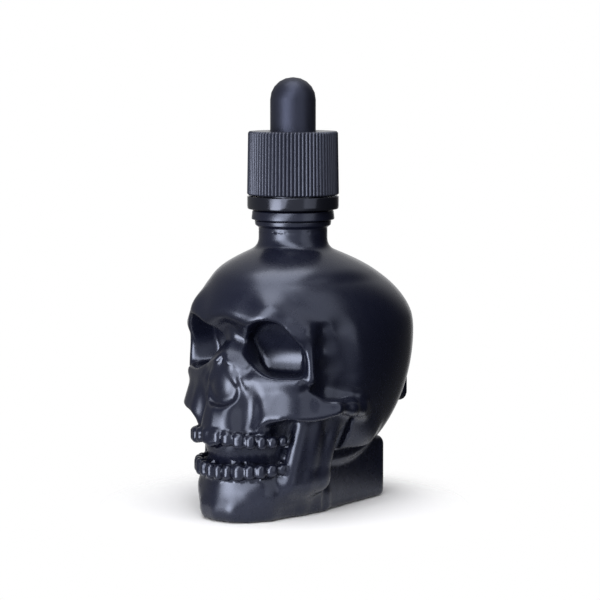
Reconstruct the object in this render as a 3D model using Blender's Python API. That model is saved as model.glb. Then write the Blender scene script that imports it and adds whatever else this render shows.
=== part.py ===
"""A bitters bottle of black glass in the shape of a skull, closed by a ribbed dropper cap.

The bottle stands on a flat base with its face toward -Y. The origin is where the axis of the
neck meets the ground. Sizes are in millimetres and are turned into metres when a mesh is stored.
"""

import math
from dataclasses import dataclass

import bmesh
import bpy
import numpy as np
from mathutils import Matrix

MM = 0.001

# Clearance between two pieces that touch
CLEARANCE = 0.3

# Head of the bottle
HEAD_WIDTH = 47.6
HEAD_LENGTH = 60.4
HEAD_HEIGHT = 63.1
GLASS_WALL = 2.6
GLASS_FLOOR = 5.0

# Neck finish
NECK_DIAMETER = 16.5
NECK_BORE = 11.5
NECK_STEM = 4.6
# The body mould's neck opening is this much smaller all round than the neck mould's
MOULD_STEP = 0.2
LOWER_RING_DIAMETER = 18.3
LOWER_RING_HEIGHT = 1.8
UPPER_RING_DIAMETER = 19.9
UPPER_RING_HEIGHT = 2.2
THREAD_DIAMETER = 17.9
BEAD_DIAMETER = 19.2
BEAD_HEIGHT = 1.2
BEAD_GROOVE = 1.4

# Ribbed cap and the band that breaks off when it is first opened
CAP_DIAMETER = 22.0
CAP_HEIGHT = 15.1
CAP_PLATE = 1.4
CAP_DRAFT = 0.25
CAP_EDGE = 0.5
RIB_COUNT = 72
RIB_DEPTH = 0.3
BAND_HEIGHT = 3.1
BAND_LIP = 1.0

# Rubber bulb
BULB_DIAMETER = 10.9
BULB_HEIGHT = 12.8
BULB_WALL = 1.3
FLANGE_DIAMETER = 16.0
FLANGE_THICKNESS = 1.5
COLLAR_DIAMETER = 10.6
COLLAR_LENGTH = 3.0

# Glass pipette
PIPETTE_DIAMETER = 7.0
PIPETTE_BORE = 4.6
PIPETTE_GRIP = 6.0
PIPETTE_TAPER = 12.0
TIP_DIAMETER = 3.2
TIP_BORE = 1.4
TIP_HEIGHT = 14.0

# Heights above the ground, worked up the neck
LOWER_RING_Z = HEAD_HEIGHT + NECK_STEM
UPPER_RING_Z = LOWER_RING_Z + LOWER_RING_HEIGHT
BAND_Z = UPPER_RING_Z + UPPER_RING_HEIGHT + CLEARANCE
CAP_Z = BAND_Z + BAND_HEIGHT + CLEARANCE
CAP_TOP_Z = CAP_Z + CAP_HEIGHT
FLANGE_TOP_Z = CAP_TOP_Z - CAP_PLATE - CLEARANCE
FLANGE_Z = FLANGE_TOP_Z - FLANGE_THICKNESS
RIM_Z = FLANGE_Z - CLEARANCE
BULB_TOP_Z = CAP_TOP_Z + BULB_HEIGHT
PIPETTE_TOP_Z = FLANGE_TOP_Z + PIPETTE_GRIP
BEAD_Z = BAND_Z + BAND_LIP + CLEARANCE

# The landmarks of the face are places in millimetres on a head of this width, length and height.
MODEL_HEAD = np.array((47.6, 60.4, 63.1))
HEAD_SCALE = np.array((HEAD_WIDTH, HEAD_LENGTH, HEAD_HEIGHT)) / MODEL_HEAD

BLACK_GLASS = ((0.018, 0.020, 0.028, 1.0), 0.30, 0.0)
BLACK_PLASTIC = ((0.016, 0.017, 0.022, 1.0), 0.38, 0.0)
BLACK_RUBBER = ((0.020, 0.020, 0.023, 1.0), 0.70, 0.0)
CLEAR_GLASS = ((0.80, 0.85, 0.86, 1.0), 0.05, 0.0)

SEGMENTS = 40


# Distances to simple shapes. Points are rows of x, y and z, and a distance is negative inside.

def ball(points, centre, radii, lower=None):
    """An ellipsoid, whose lower half may have its own height."""
    offset = points - np.array(centre)
    radius = np.broadcast_to(np.array(radii, float), offset.shape).copy()
    if lower is not None:
        radius[:, 2] = np.where(offset[:, 2] < 0, lower, radii[2])
    near = np.linalg.norm(offset / radius, axis=1)
    steep = np.linalg.norm(offset / radius**2, axis=1) + 1e-9
    return near * (near - 1.0) / steep


def bar(points, start, end, radius, end_radius=None):
    """A round bar with domed ends, which may taper."""
    start = np.array(start, float)
    along = np.array(end, float) - start
    end_radius = radius if end_radius is None else end_radius
    share = np.clip(((points - start) @ along) / (along @ along), 0, 1)
    spine = start + share[:, None] * along
    return np.linalg.norm(points - spine, axis=1) - (radius + (end_radius - radius) * share)


def wall(points, start, end, radius, low, high):
    """A bar in plan, drawn straight up from one height to another."""
    flat = points.copy()
    flat[:, 2] = points[:, 2] - np.clip(points[:, 2], low, high)
    return bar(flat, (*start, 0), (*end, 0), radius)


def block(points, centre, half, radius):
    """A box with rounded edges."""
    beyond = np.abs(points - np.array(centre)) - (np.array(half) - radius)
    return np.linalg.norm(np.maximum(beyond, 0), axis=1) + np.minimum(beyond.max(1), 0) - radius


def slab(points, middle, half):
    """Everything between two heights."""
    return np.abs(points[:, 2] - middle) - half


def facing(points, centre, yaw):
    """Points as seen from a place that is turned about the vertical."""
    offset = points - np.array(centre)
    cos, sin = math.cos(yaw), math.sin(yaw)
    x = offset[:, 0] * cos + offset[:, 1] * sin
    y = offset[:, 1] * cos - offset[:, 0] * sin
    return np.stack([x, y, offset[:, 2]], axis=1)


def join(first, second, blend):
    """Both shapes, with a fillet of about this size where they meet."""
    share = np.clip(0.5 + 0.5 * (second - first) / blend, 0, 1)
    return second * (1 - share) + first * share - blend * share * (1 - share)


def cut(shape, tool, blend):
    """The first shape without the second."""
    return -join(-shape, tool, blend)


def meet(first, second, blend):
    """What both shapes share."""
    return -join(-first, -second, blend)


# The skull, one half of it: x is taken as its distance from the middle of the face.

EYE_CENTRE = (11.0, -18.5, 40.5)
EYE_YAW = math.atan2(5.5, 16.0)
# The rim of an eye socket as straight sides: the direction a side faces, and how far out it lies
EYE_SIDES = (
    ((1.0, 0.0), 7.4),
    ((0.6, 0.8), 5.4),
    ((0.0, 1.0), 6.8),
    ((-0.968, 0.249), 7.1),
    ((-0.615, -0.788), 7.1),
    ((0.0, -1.0), 6.8),
)
EYE_CORNERS = 7
EYE_REACH = 6.3
EYE_NARROWING = 0.035


def cranium(points):
    """An egg whose crown leans forward, toward the neck of the bottle."""
    lean = 3.6 * (np.clip(points[:, 2] - 45.0, 0, 18.0) / 18.0) ** 1.5
    upright = points.copy()
    upright[:, 1] += lean
    return ball(upright, (0, 3.9, 41.5), (23.8, 30.2, 21.6), lower=31.0)


def eye_socket(points):
    """A hollow with a six-sided rim, which narrows inward to a bowl."""
    local = facing(points, EYE_CENTRE, EYE_YAW)
    narrow = 1 - EYE_NARROWING * np.clip(local[:, 1] + 2.0, -2.0, 12.0)
    total = 0
    for (side_x, side_z), distance in EYE_SIDES:
        reach = (local[:, 0] * side_x + local[:, 2] * side_z) / (distance * narrow)
        total = total + np.maximum(reach, 0) ** EYE_CORNERS
    tube = (total ** (1 / EYE_CORNERS) - 1) * EYE_REACH
    bowl = ball(local, (1.0, -8.0, 0.5), (14.0, 15.5, 11.0))
    return meet(tube, bowl, 1.5)


def upper_face(points):
    """Cranium, brow, cheekbones, nose and upper jaw."""
    shape = cranium(points)
    shape = cut(shape, bar(points, (0, -27.6, 42.0), (24.0, -25.5, 38.0), 6.6, 6.0), 3)
    shape = join(shape, ball(points, (0, -13.5, 30.0), (13.0, 10.5, 12.0)), 3)
    outer_rim = bar(points, (18.4, -14.4, 45.5), (18.9, -14.2, 34.0), 1.3, 1.5)
    shape = join(shape, outer_rim, 1.5)
    cheekbone = ball(points, (17.4, -14.4, 28.0), (4.8, 4.8, 5.6))
    shape = join(shape, cheekbone, 1.6)
    lower_rim = bar(points, (8.0, -20.0, 31.6), (17.0, -16.2, 31.6), 1.8, 2.0)
    shape = join(shape, lower_rim, 2.5)
    shape = join(shape, ball(points, (0, -14.5, 27.0), (10.6, 11.8, 9.0)), 3)
    gum = meet(ball(points, (0, -14.4, 23.2), (12.2, 13.5, 9.0)), slab(points, 23.6, 3.0), 2)
    shape = join(shape, gum, 2)
    buttress = bar(points, (11.2, -18.4, 25.0), (15.6, -17.0, 28.4), 1.6, 2.4)
    shape = join(shape, buttress, 2)
    shape = join(shape, bar(points, (3.2, -18.2, 45.0), (4.4, -20.8, 37.5), 1.4, 1.8), 2)
    shape = join(shape, bar(points, (4.4, -20.8, 37.5), (6.6, -22.2, 29.5), 1.8, 2.0), 2)
    shape = join(shape, bar(points, (4.8, -22.2, 31.0), (5.4, -24.0, 24.0), 1.6, 1.8), 1.5)
    nose_bone = bar(points, (0, -17.6, 44.4), (0, -23.8, 39.4), 1.8, 1.5)
    shape = join(shape, nose_bone, 2.2)
    shape = cut(shape, bar(points, (21.4, -11.6, 44.0), (21.2, -7.6, 31.6), 0.7, 3.8), 1.2)
    arch = bar(points, (19.2, -14.0, 28.4), (22.0, -9.6, 28.4), 3.0, 1.9)
    arch = join(arch, bar(points, (22.2, -9.6, 28.6), (22.4, 0.0, 27.8), 1.9, 0.9), 1)
    shape = join(shape, arch, 1)
    shape = cut(shape, eye_socket(points), 0.8)
    nostril = join(
        ball(points, (0, -25.0, 35.0), (2.2, 3.0, 3.6)),
        ball(points, (2.0, -25.6, 30.8), (2.8, 3.6, 3.2)),
        2.5,
    )
    return cut(shape, nostril, 0.6)


def lower_jaw(points):
    """Chin, jaw body and the branch that rises to the ear."""
    foot_line = ((0.0, -25.4), (4.4, -24.2), (7.2, -18.0), (8.6, -9.0), (9.4, -2.0))
    foot = None
    for start, end in zip(foot_line, foot_line[1:]):
        length = wall(points, start, end, 3.2, 2.2, 4.0)
        foot = length if foot is None else join(foot, length, 1)
    body = bar(points, (0, -23.2, 8.0), (7.2, -19.6, 8.0), 3.6, 4.2)
    body = join(body, bar(points, (7.2, -19.6, 8.0), (11.2, -10.5, 9.0), 4.2, 3.8), 1)
    body = join(body, bar(points, (11.2, -10.5, 9.0), (12.6, -6.0, 9.5), 3.8, 3.2), 1)
    shape = join(foot, body, 4)
    shape = join(shape, block(points, (0, -10.0, 4.0), (8.2, 14.0, 5.0), 2.0), 2)
    branch = join(
        bar(points, (12.0, -15.4, 9.0), (14.6, -13.8, 25.0), 2.6, 1.8),
        bar(points, (13.6, -6.4, 9.0), (17.8, -4.6, 25.5), 2.4, 1.6),
        2,
    )
    branch = join(branch, bar(points, (13.0, -10.8, 9.0), (16.4, -9.4, 25.0), 2.4, 1.8), 3)
    shape = join(shape, branch, 2)
    gum = meet(ball(points, (0, -14.0, 8.6), (10.6, 12.8, 9.0)), slab(points, 8.4, 3.0), 2)
    return join(shape, gum, 2)


@dataclass(frozen=True)
class ToothRow:
    """Half of an arch of teeth, from the middle of the face to the last tooth."""

    height: float
    half_height: float
    front: float
    half_width: float
    # for each tooth: its width, its share of the height, and how far it stands above the row
    teeth: tuple


UPPER_TEETH = ToothRow(21.4, 2.15, 28.2, 13.2, (
    (3.5, 1.00, -0.1), (2.9, 0.92, -0.4), (3.1, 1.00, -0.9), (2.9, 0.90, -1.3),
    (2.9, 0.85, -1.6), (3.6, 0.75, -1.6), (3.4, 0.70, -1.2),
))
LOWER_TEETH = ToothRow(11.8, 2.1, 27.3, 12.4, (
    (2.5, 1.00, 0.0), (2.7, 1.00, 0.0), (3.0, 1.05, -0.1), (2.9, 0.95, -0.3),
    (2.9, 0.90, -0.4), (3.6, 0.80, -0.4), (3.4, 0.70, -0.3),
))
ARCH_BACK = 14.0
TOOTH_DEPTH = 1.25
TOOTH_GAP = 0.12
TOOTH_ROUND = 0.95


def teeth(points, row):
    """Rounded blocks stood along half an ellipse."""
    turn = np.linspace(0, math.pi / 2, 200)
    depth = row.front - ARCH_BACK
    steps = np.hypot(np.diff(row.half_width * np.sin(turn)), np.diff(depth * np.cos(turn)))
    travelled = np.concatenate([[0], np.cumsum(steps)])
    shape = np.full(len(points), np.inf)
    start = 0.0
    for width, share, rise in row.teeth:
        angle = np.interp(start + width / 2, travelled, turn)
        start += width
        centre = (
            row.half_width * math.sin(angle),
            -ARCH_BACK - depth * math.cos(angle),
            row.height + rise,
        )
        yaw = math.atan2(math.sin(angle) / row.half_width, math.cos(angle) / depth)
        half = (width / 2 - TOOTH_GAP, TOOTH_DEPTH, row.half_height * share)
        tooth = block(facing(points, centre, yaw), (0, 0, 0), half, min(half[0], TOOTH_ROUND))
        shape = np.minimum(shape, tooth)
    return shape


def back_block(points):
    """The squared foot below the back of the head, narrower to the rear."""
    narrowed = points.copy()
    narrowed[:, 0] *= 1 + (points[:, 1] + 1.0) * 0.0085
    return block(narrowed, (0, 10.6, 7.4), (11.8, 13.2, 7.8), 2.2)


def heel(points):
    """The low boss on the back of the head."""
    outline = points.copy()
    outline[:, 1] = 0
    plate = block(outline, (0, 0, 26.8), (9.0, 3.0, 4.2), 2.4)
    return meet(plate, np.abs(points[:, 1] - 26.8) - 6.2, 0.8)


def skull(points, neck_height):
    """The outer form of the bottle below its rings, flat cut at the ground later."""
    on_model = points / HEAD_SCALE
    on_model[:, 0] = np.abs(on_model[:, 0])
    shape = upper_face(on_model)
    shape = join(shape, ball(on_model, (0, -9.0, 10.0), (11.5, 16.5, 14.0)), 2)
    shape = join(shape, lower_jaw(on_model), 1.5)
    tongue = meet(ball(on_model, (0, -12.5, 16.5), (11.0, 14.6, 14.0)), slab(on_model, 16.5, 3.4), 1.5)
    shape = join(shape, tongue, 1)
    shape = cut(shape, ball(on_model, (15.2, -18.6, 18.0), (3.8, 2.6, 7.5)), 1)
    shape = join(shape, teeth(on_model, UPPER_TEETH), 0.5)
    shape = join(shape, teeth(on_model, LOWER_TEETH), 0.5)
    shape = join(shape, ball(on_model, (13.6, 6.2, 22.5), (5.6, 7.0, 8.5)), 2)
    shape = cut(shape, bar(on_model, (21.6, -2.4, 24.5), (16.2, -1.4, 13.0), 1.5, 2.4), 0.6)
    shape = join(shape, back_block(on_model), 0.8)
    shape = join(shape, heel(on_model), 1.2)
    radius = np.hypot(points[:, 0], points[:, 1])
    stem_radius = NECK_DIAMETER / 2 - MOULD_STEP
    stem = np.maximum(radius - stem_radius, np.abs(points[:, 2] - HEAD_HEIGHT) - neck_height)
    return join(shape, stem, 3.5)


def hollow(points, stem_top):
    """The space inside the glass: soft rooms that keep a full wall behind every outer form."""
    on_model = points / HEAD_SCALE
    rooms = ball(on_model, (0, 4.2, 41.3), (21.4, 27.8, 19.2), lower=31.0)
    rooms = join(rooms, ball(on_model, (0, -4.0, 16.0), (11.5, 18.5, 16.0)), 4)
    rooms = join(rooms, block(on_model, (0, 8.6, 12.0), (9.2, 12.0, 9.0), 4.0), 3)
    rooms = meet(rooms, slab(points, GLASS_FLOOR + 50, 50), 2)
    rooms = meet(rooms, skull(points, 1.0) + GLASS_WALL, 1.5)
    radius = np.hypot(points[:, 0], points[:, 1])
    stem = np.maximum(radius - NECK_BORE / 2, np.abs(points[:, 2] - stem_top + 10) - 10)
    return join(rooms, stem, 3)


# Mesh tools

def settle(mesh, distance, steps, farthest=0.9):
    """Moves the points of a mesh onto the surface where a distance is zero."""
    flat = np.empty(len(mesh.vertices) * 3)
    mesh.vertices.foreach_get("co", flat)
    points = flat.reshape(-1, 3)
    probe = 0.04
    corners = probe * np.array([[1, 1, 1], [1, -1, -1], [-1, 1, -1], [-1, -1, 1]])
    for _ in range(steps):
        slope = sum(corner * distance(points + corner)[:, None] for corner in corners)
        slope = slope / (4 * probe**2)
        steep = np.linalg.norm(slope, axis=1, keepdims=True) + 1e-9
        move = np.clip(distance(points)[:, None] / np.maximum(steep, 0.4), -farthest, farthest)
        points = points - move * slope / steep
    mesh.vertices.foreach_set("co", points.ravel())
    mesh.update()


def with_modifier(mesh, kind, **settings):
    """The mesh that one modifier makes of a mesh."""
    holder = bpy.data.objects.new("holder", mesh)
    bpy.context.scene.collection.objects.link(holder)
    modifier = holder.modifiers.new(kind.title(), kind)
    for name, value in settings.items():
        setattr(modifier, name, value)
    graph = bpy.context.evaluated_depsgraph_get()
    result = bpy.data.meshes.new_from_object(holder.evaluated_get(graph))
    bpy.data.objects.remove(holder)
    return result


def moulded(distance, rough_shapes, grain, triangles):
    """A closed form: rough shapes fused, laid onto the exact surface and thinned out."""
    rough = bmesh.new()
    for centre, half, rounded in rough_shapes:
        if rounded:
            made = bmesh.ops.create_icosphere(rough, subdivisions=4, radius=1)
        else:
            made = bmesh.ops.create_cube(rough, size=2)
        bmesh.ops.scale(rough, verts=made["verts"], vec=half)
        bmesh.ops.translate(rough, verts=made["verts"], vec=centre)
    mesh = bpy.data.meshes.new("rough")
    rough.to_mesh(mesh)
    rough.free()
    for size, steps in ((grain * 1.25, 14), (grain, 6)):
        mesh = with_modifier(mesh, "REMESH", mode="VOXEL", voxel_size=size, adaptivity=0.0)
        settle(mesh, distance, steps)
        mesh = with_modifier(mesh, "SMOOTH", factor=0.3, iterations=1)
    settle(mesh, distance, 3, 0.3)
    faces = 2 * len(mesh.polygons)
    mesh = with_modifier(mesh, "DECIMATE", ratio=triangles / faces)
    settle(mesh, distance, 2, 0.1)
    return mesh


def cut_flat(mesh, height):
    """Cuts away what is below a height and closes the cut with one flat face."""
    work = bmesh.new()
    work.from_mesh(mesh)
    everything = work.verts[:] + work.edges[:] + work.faces[:]
    bmesh.ops.bisect_plane(
        work, geom=everything, dist=1e-4, plane_co=(0, 0, height), plane_no=(0, 0, 1), clear_inner=True
    )
    bmesh.ops.dissolve_degenerate(work, dist=0.02, edges=work.edges[:])
    rim = [edge for edge in work.edges if edge.is_boundary]
    bmesh.ops.contextual_create(work, geom=rim)
    bmesh.ops.recalc_face_normals(work, faces=work.faces[:])
    work.to_mesh(mesh)
    work.free()
    return mesh


@dataclass(frozen=True)
class Corner:
    """A corner of a turned profile, with the radius of its fillet."""

    radius: float
    height: float
    fillet: float = 0.0


FILLET_STEPS = 3


def rounded_profile(corners, closed):
    """The points of a profile, with an arc at each corner that has a fillet."""
    count = len(corners)
    points = []
    for index, corner in enumerate(corners):
        here = np.array((corner.radius, corner.height))
        if corner.fillet <= 0 or (not closed and index in (0, count - 1)):
            points.append(tuple(here))
            continue
        before = corners[index - 1]
        after = corners[(index + 1) % count]
        to_before = np.array((before.radius, before.height)) - here
        to_after = np.array((after.radius, after.height)) - here
        to_before = to_before / np.linalg.norm(to_before)
        to_after = to_after / np.linalg.norm(to_after)
        half_angle = math.acos(np.clip(to_before @ to_after, -1, 1)) / 2
        reach = corner.fillet / math.tan(half_angle)
        middle = (to_before + to_after) / np.linalg.norm(to_before + to_after)
        centre = here + middle * corner.fillet / math.sin(half_angle)
        first = here + to_before * reach - centre
        last = here + to_after * reach - centre
        start = math.atan2(first[1], first[0])
        sweep = (math.atan2(last[1], last[0]) - start + math.pi) % math.tau - math.pi
        for step in range(FILLET_STEPS + 1):
            angle = start + sweep * step / FILLET_STEPS
            points.append(tuple(centre + corner.fillet * np.array((math.cos(angle), math.sin(angle)))))
    return points


def turned(corners, segments=SEGMENTS, on_axis=False):
    """A profile spun once round the Z axis; on_axis is for one that starts and ends there."""
    profile = rounded_profile(corners, closed=not on_axis)
    work = bmesh.new()
    points = [work.verts.new((radius, 0, height)) for radius, height in profile]
    followers = points[1:] if on_axis else points[1:] + points[:1]
    edges = [work.edges.new(pair) for pair in zip(points, followers)]
    bmesh.ops.spin(
        work, geom=points + edges, cent=(0, 0, 0), axis=(0, 0, 1), angle=math.tau,
        steps=segments, use_merge=True, use_normal_flip=False, use_duplicate=False,
    )
    bmesh.ops.remove_doubles(work, verts=work.verts[:], dist=1e-5)
    bmesh.ops.recalc_face_normals(work, faces=work.faces[:])
    return work


def ribbed(work, count, depth, low, high, least_radius):
    """Draws every other upright edge of a turned wall inward, which leaves ribs between them."""
    step = math.tau / count
    for point in work.verts:
        radius = math.hypot(point.co.x, point.co.y)
        turn = math.atan2(point.co.y, point.co.x) / step
        between = abs(turn - round(turn)) > 0.25
        if between and radius > least_radius and low < point.co.z < high:
            share = (radius - depth) / radius
            point.co.x *= share
            point.co.y *= share


def as_mesh(work, name):
    """Stores a worked shape as a mesh, still in millimetres."""
    mesh = bpy.data.meshes.new(name)
    work.to_mesh(mesh)
    work.free()
    return mesh


def boolean(mesh, tool, operation):
    """A mesh joined with, or cut by, another."""
    cutter = bpy.data.objects.new("cutter", tool)
    bpy.context.scene.collection.objects.link(cutter)
    result = with_modifier(mesh, "BOOLEAN", object=cutter, operation=operation, solver="EXACT")
    bpy.data.objects.remove(cutter)
    return result


def cleaned(mesh):
    """Removes the slivers that a cut leaves, and makes every face a triangle."""
    work = bmesh.new()
    work.from_mesh(mesh)
    bmesh.ops.remove_doubles(work, verts=work.verts[:], dist=0.005)
    bmesh.ops.dissolve_degenerate(work, dist=0.01, edges=work.edges[:])
    bmesh.ops.triangulate(work, faces=work.faces[:])
    bmesh.ops.recalc_face_normals(work, faces=work.faces[:])
    work.to_mesh(mesh)
    work.free()
    return mesh


def material(name, look):
    """A plain surface of one colour, roughness and metallic value."""
    colour, roughness, metallic = look
    surface = bpy.data.materials.new(name)
    surface.use_nodes = True
    shader = surface.node_tree.nodes["Principled BSDF"]
    shader.inputs["Base Color"].default_value = colour
    shader.inputs["Roughness"].default_value = roughness
    shader.inputs["Metallic"].default_value = metallic
    return surface


def part(name, mesh, look):
    """Puts a finished piece into the scene in metres."""
    mesh.transform(Matrix.Scale(MM, 4))
    mesh.name = name
    mesh.materials.clear()
    mesh.materials.append(material(f"{name}_surface", look))
    mesh.shade_smooth()
    mesh.set_sharp_from_angle(angle=math.radians(35))
    piece = bpy.data.objects.new(name, mesh)
    bpy.context.scene.collection.objects.link(piece)
    return piece


# The pieces

HEAD_GRAIN = 0.8
HEAD_TRIANGLES = 6000
HOLLOW_GRAIN = 1.3
HOLLOW_TRIANGLES = 1500
STEM_OVERLAP = 1.5


def neck_finish():
    """The neck with its two rings, the bead that holds the band, and the flat rim."""
    neck = NECK_DIAMETER / 2
    lower = LOWER_RING_DIAMETER / 2
    upper = UPPER_RING_DIAMETER / 2
    thread = THREAD_DIAMETER / 2
    bead = BEAD_DIAMETER / 2
    bead_top = BEAD_Z + BEAD_HEIGHT
    return turned([
        Corner(0, HEAD_HEIGHT + STEM_OVERLAP),
        Corner(neck, HEAD_HEIGHT + STEM_OVERLAP),
        Corner(neck, LOWER_RING_Z),
        Corner(lower, LOWER_RING_Z, 0.4),
        Corner(lower, UPPER_RING_Z),
        Corner(upper, UPPER_RING_Z, 0.5),
        Corner(upper, UPPER_RING_Z + UPPER_RING_HEIGHT, 0.5),
        Corner(neck, UPPER_RING_Z + UPPER_RING_HEIGHT),
        Corner(neck, BEAD_Z),
        Corner(bead, BEAD_Z),
        Corner(bead, bead_top),
        Corner(neck, bead_top),
        Corner(neck, bead_top + BEAD_GROOVE),
        Corner(thread, bead_top + BEAD_GROOVE + (THREAD_DIAMETER - NECK_DIAMETER) / 2),
        Corner(thread, RIM_Z, 0.6),
        Corner(0, RIM_Z),
    ], on_axis=True)


def skull_bottle():
    """The glass: the moulded head, its neck finish, and the hollow with the bore."""
    head_shapes = (
        ((0, 3, 40), (24, 30, 24), True),
        ((0, -13, 22), (16, 16, 20), True),
        ((0, -10, 7), (12, 17, 7.5), False),
        ((0, 10, 7.4), (12, 12.5, 8), False),
        ((0, 28, 25.4), (8.5, 5, 4.6), False),
        ((0, 0, HEAD_HEIGHT), (7, 7, STEM_OVERLAP + 1.5), False),
    )
    cheeks = [((side * 18, -13, 28.5), (5, 6, 5), True) for side in (-1, 1)]
    branches = [((side * 14, -8, 18), (4, 8, 12), True) for side in (-1, 1)]
    scaled = [
        (tuple(np.array(centre) * HEAD_SCALE), tuple(np.array(half) * HEAD_SCALE), rounded)
        for centre, half, rounded in [*head_shapes, *cheeks, *branches]
    ]
    head = moulded(
        lambda points: skull(points, STEM_OVERLAP + 1.5), scaled, HEAD_GRAIN, HEAD_TRIANGLES
    )
    head = cut_flat(head, 0)
    head = boolean(head, as_mesh(neck_finish(), "neck_finish"), "UNION")
    stem_top = HEAD_HEIGHT + STEM_OVERLAP
    rooms = [
        ((0, 4.2, 40), (20, 26, 18), True),
        ((0, -4.0, 17), (11, 17, 13), True),
        ((0, 8.0, 14), (8.5, 11.5, 8.5), False),
        ((0, -8.0, 12), (7.0, 10.0, 6.5), False),
    ]
    rooms = [
        (tuple(np.array(centre) * HEAD_SCALE), tuple(np.array(half) * HEAD_SCALE), rounded)
        for centre, half, rounded in rooms
    ]
    rooms.append(((0, 0, stem_top - 5), (3.5, 3.5, 5), False))
    inside = moulded(
        lambda points: hollow(points, stem_top), rooms, HOLLOW_GRAIN, HOLLOW_TRIANGLES
    )
    bore = turned([
        Corner(0, stem_top - 2),
        Corner(NECK_BORE / 2, stem_top - 2),
        Corner(NECK_BORE / 2, RIM_Z + 1),
        Corner(0, RIM_Z + 1),
    ], on_axis=True)
    inside = boolean(inside, as_mesh(bore, "bore"), "UNION")
    bottle = cleaned(boolean(head, inside, "DIFFERENCE"))
    return part("skull_bottle", bottle, BLACK_GLASS)


def tamper_band():
    """The band below the cap, with a lip that catches under the bead of the neck."""
    outside = CAP_DIAMETER / 2
    inside = BEAD_DIAMETER / 2 + CLEARANCE
    lip = NECK_DIAMETER / 2 + CLEARANCE
    top = BAND_Z + BAND_HEIGHT
    ring = turned([
        Corner(outside, BAND_Z, 0.3),
        Corner(outside, top, 0.2),
        Corner(inside, top),
        Corner(inside, BAND_Z + BAND_LIP),
        Corner(lip, BAND_Z + BAND_LIP),
        Corner(inside, BAND_Z),
    ])
    return part("tamper_band", as_mesh(ring, "ring"), BLACK_PLASTIC)


def dropper_cap():
    """The ribbed cap, open at the top for the bulb."""
    base = CAP_DIAMETER / 2
    top = base - CAP_DRAFT
    inside = max(THREAD_DIAMETER, BEAD_DIAMETER - 0.4) / 2 + CLEARANCE
    hole = BULB_DIAMETER / 2 + CLEARANCE
    plate_z = CAP_TOP_Z - CAP_PLATE
    work = turned([
        Corner(inside, CAP_Z),
        Corner(base, CAP_Z),
        Corner(base, CAP_Z + CAP_EDGE),
        Corner(top, CAP_TOP_Z - CAP_EDGE),
        Corner(top - CAP_EDGE, CAP_TOP_Z),
        Corner(hole, CAP_TOP_Z),
        Corner(hole, plate_z),
        Corner(inside, plate_z),
    ], segments=RIB_COUNT * 2)
    ribbed(work, RIB_COUNT, RIB_DEPTH, CAP_Z + 0.1, CAP_TOP_Z - 0.1, inside + 0.1)
    return part("dropper_cap", as_mesh(work, "cap"), BLACK_PLASTIC)


def rubber_bulb():
    """The bulb, its flange on the rim of the glass, and the collar that holds the pipette."""
    outside = BULB_DIAMETER / 2
    inside = outside - BULB_WALL
    grip = PIPETTE_DIAMETER / 2 + CLEARANCE
    flange = FLANGE_DIAMETER / 2
    collar = COLLAR_DIAMETER / 2
    ledge = PIPETTE_TOP_Z + CLEARANCE
    work = turned([
        Corner(0, BULB_TOP_Z),
        Corner(outside, BULB_TOP_Z, outside * 0.98),
        Corner(outside, FLANGE_TOP_Z),
        Corner(flange, FLANGE_TOP_Z, 0.3),
        Corner(flange, FLANGE_Z, 0.3),
        Corner(collar, FLANGE_Z),
        Corner(collar, FLANGE_Z - COLLAR_LENGTH, 0.4),
        Corner(grip, FLANGE_Z - COLLAR_LENGTH),
        Corner(grip, ledge),
        Corner(inside, ledge + grip - inside if grip > inside else ledge),
        Corner(inside, BULB_TOP_Z - BULB_WALL, inside * 0.95),
        Corner(0, BULB_TOP_Z - BULB_WALL),
    ], segments=32, on_axis=True)
    return part("rubber_bulb", as_mesh(work, "bulb"), BLACK_RUBBER)


def glass_pipette():
    """The tube that hangs from the bulb and draws in to a fine tip."""
    outside = PIPETTE_DIAMETER / 2
    bore = PIPETTE_BORE / 2
    shoulder = TIP_HEIGHT + PIPETTE_TAPER
    work = turned([
        Corner(outside, PIPETTE_TOP_Z, 0.4),
        Corner(bore, PIPETTE_TOP_Z, 0.4),
        Corner(bore, shoulder + 1.0, 6.0),
        Corner(TIP_BORE / 2, TIP_HEIGHT + 3.0, 3.0),
        Corner(TIP_BORE / 2, TIP_HEIGHT),
        Corner(TIP_DIAMETER / 2, TIP_HEIGHT, 0.3),
        Corner(TIP_DIAMETER / 2, TIP_HEIGHT + 2.0, 3.0),
        Corner(outside, shoulder, 6.0),
    ], segments=20)
    return part("glass_pipette", as_mesh(work, "pipette"), CLEAR_GLASS)


def main():
    """Clears the scene and models the five pieces."""
    for old in list(bpy.data.objects):
        bpy.data.objects.remove(old)
    skull_bottle()
    tamper_band()
    dropper_cap()
    rubber_bulb()
    glass_pipette()


main()
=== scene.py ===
"""The looks of a bitters bottle: a skull of black glass, closed by a ribbed dropper cap.

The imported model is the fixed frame, and its boxes give the sizes. The face looks toward -Y.
Lengths are in millimetres while a piece is shaped, and in metres once it is stored.
"""

import logging
import math
from collections.abc import Callable
from dataclasses import dataclass, field
from enum import Enum, IntEnum

import bmesh
import bpy
import numpy as np
from mathutils import Matrix, Vector


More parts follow.
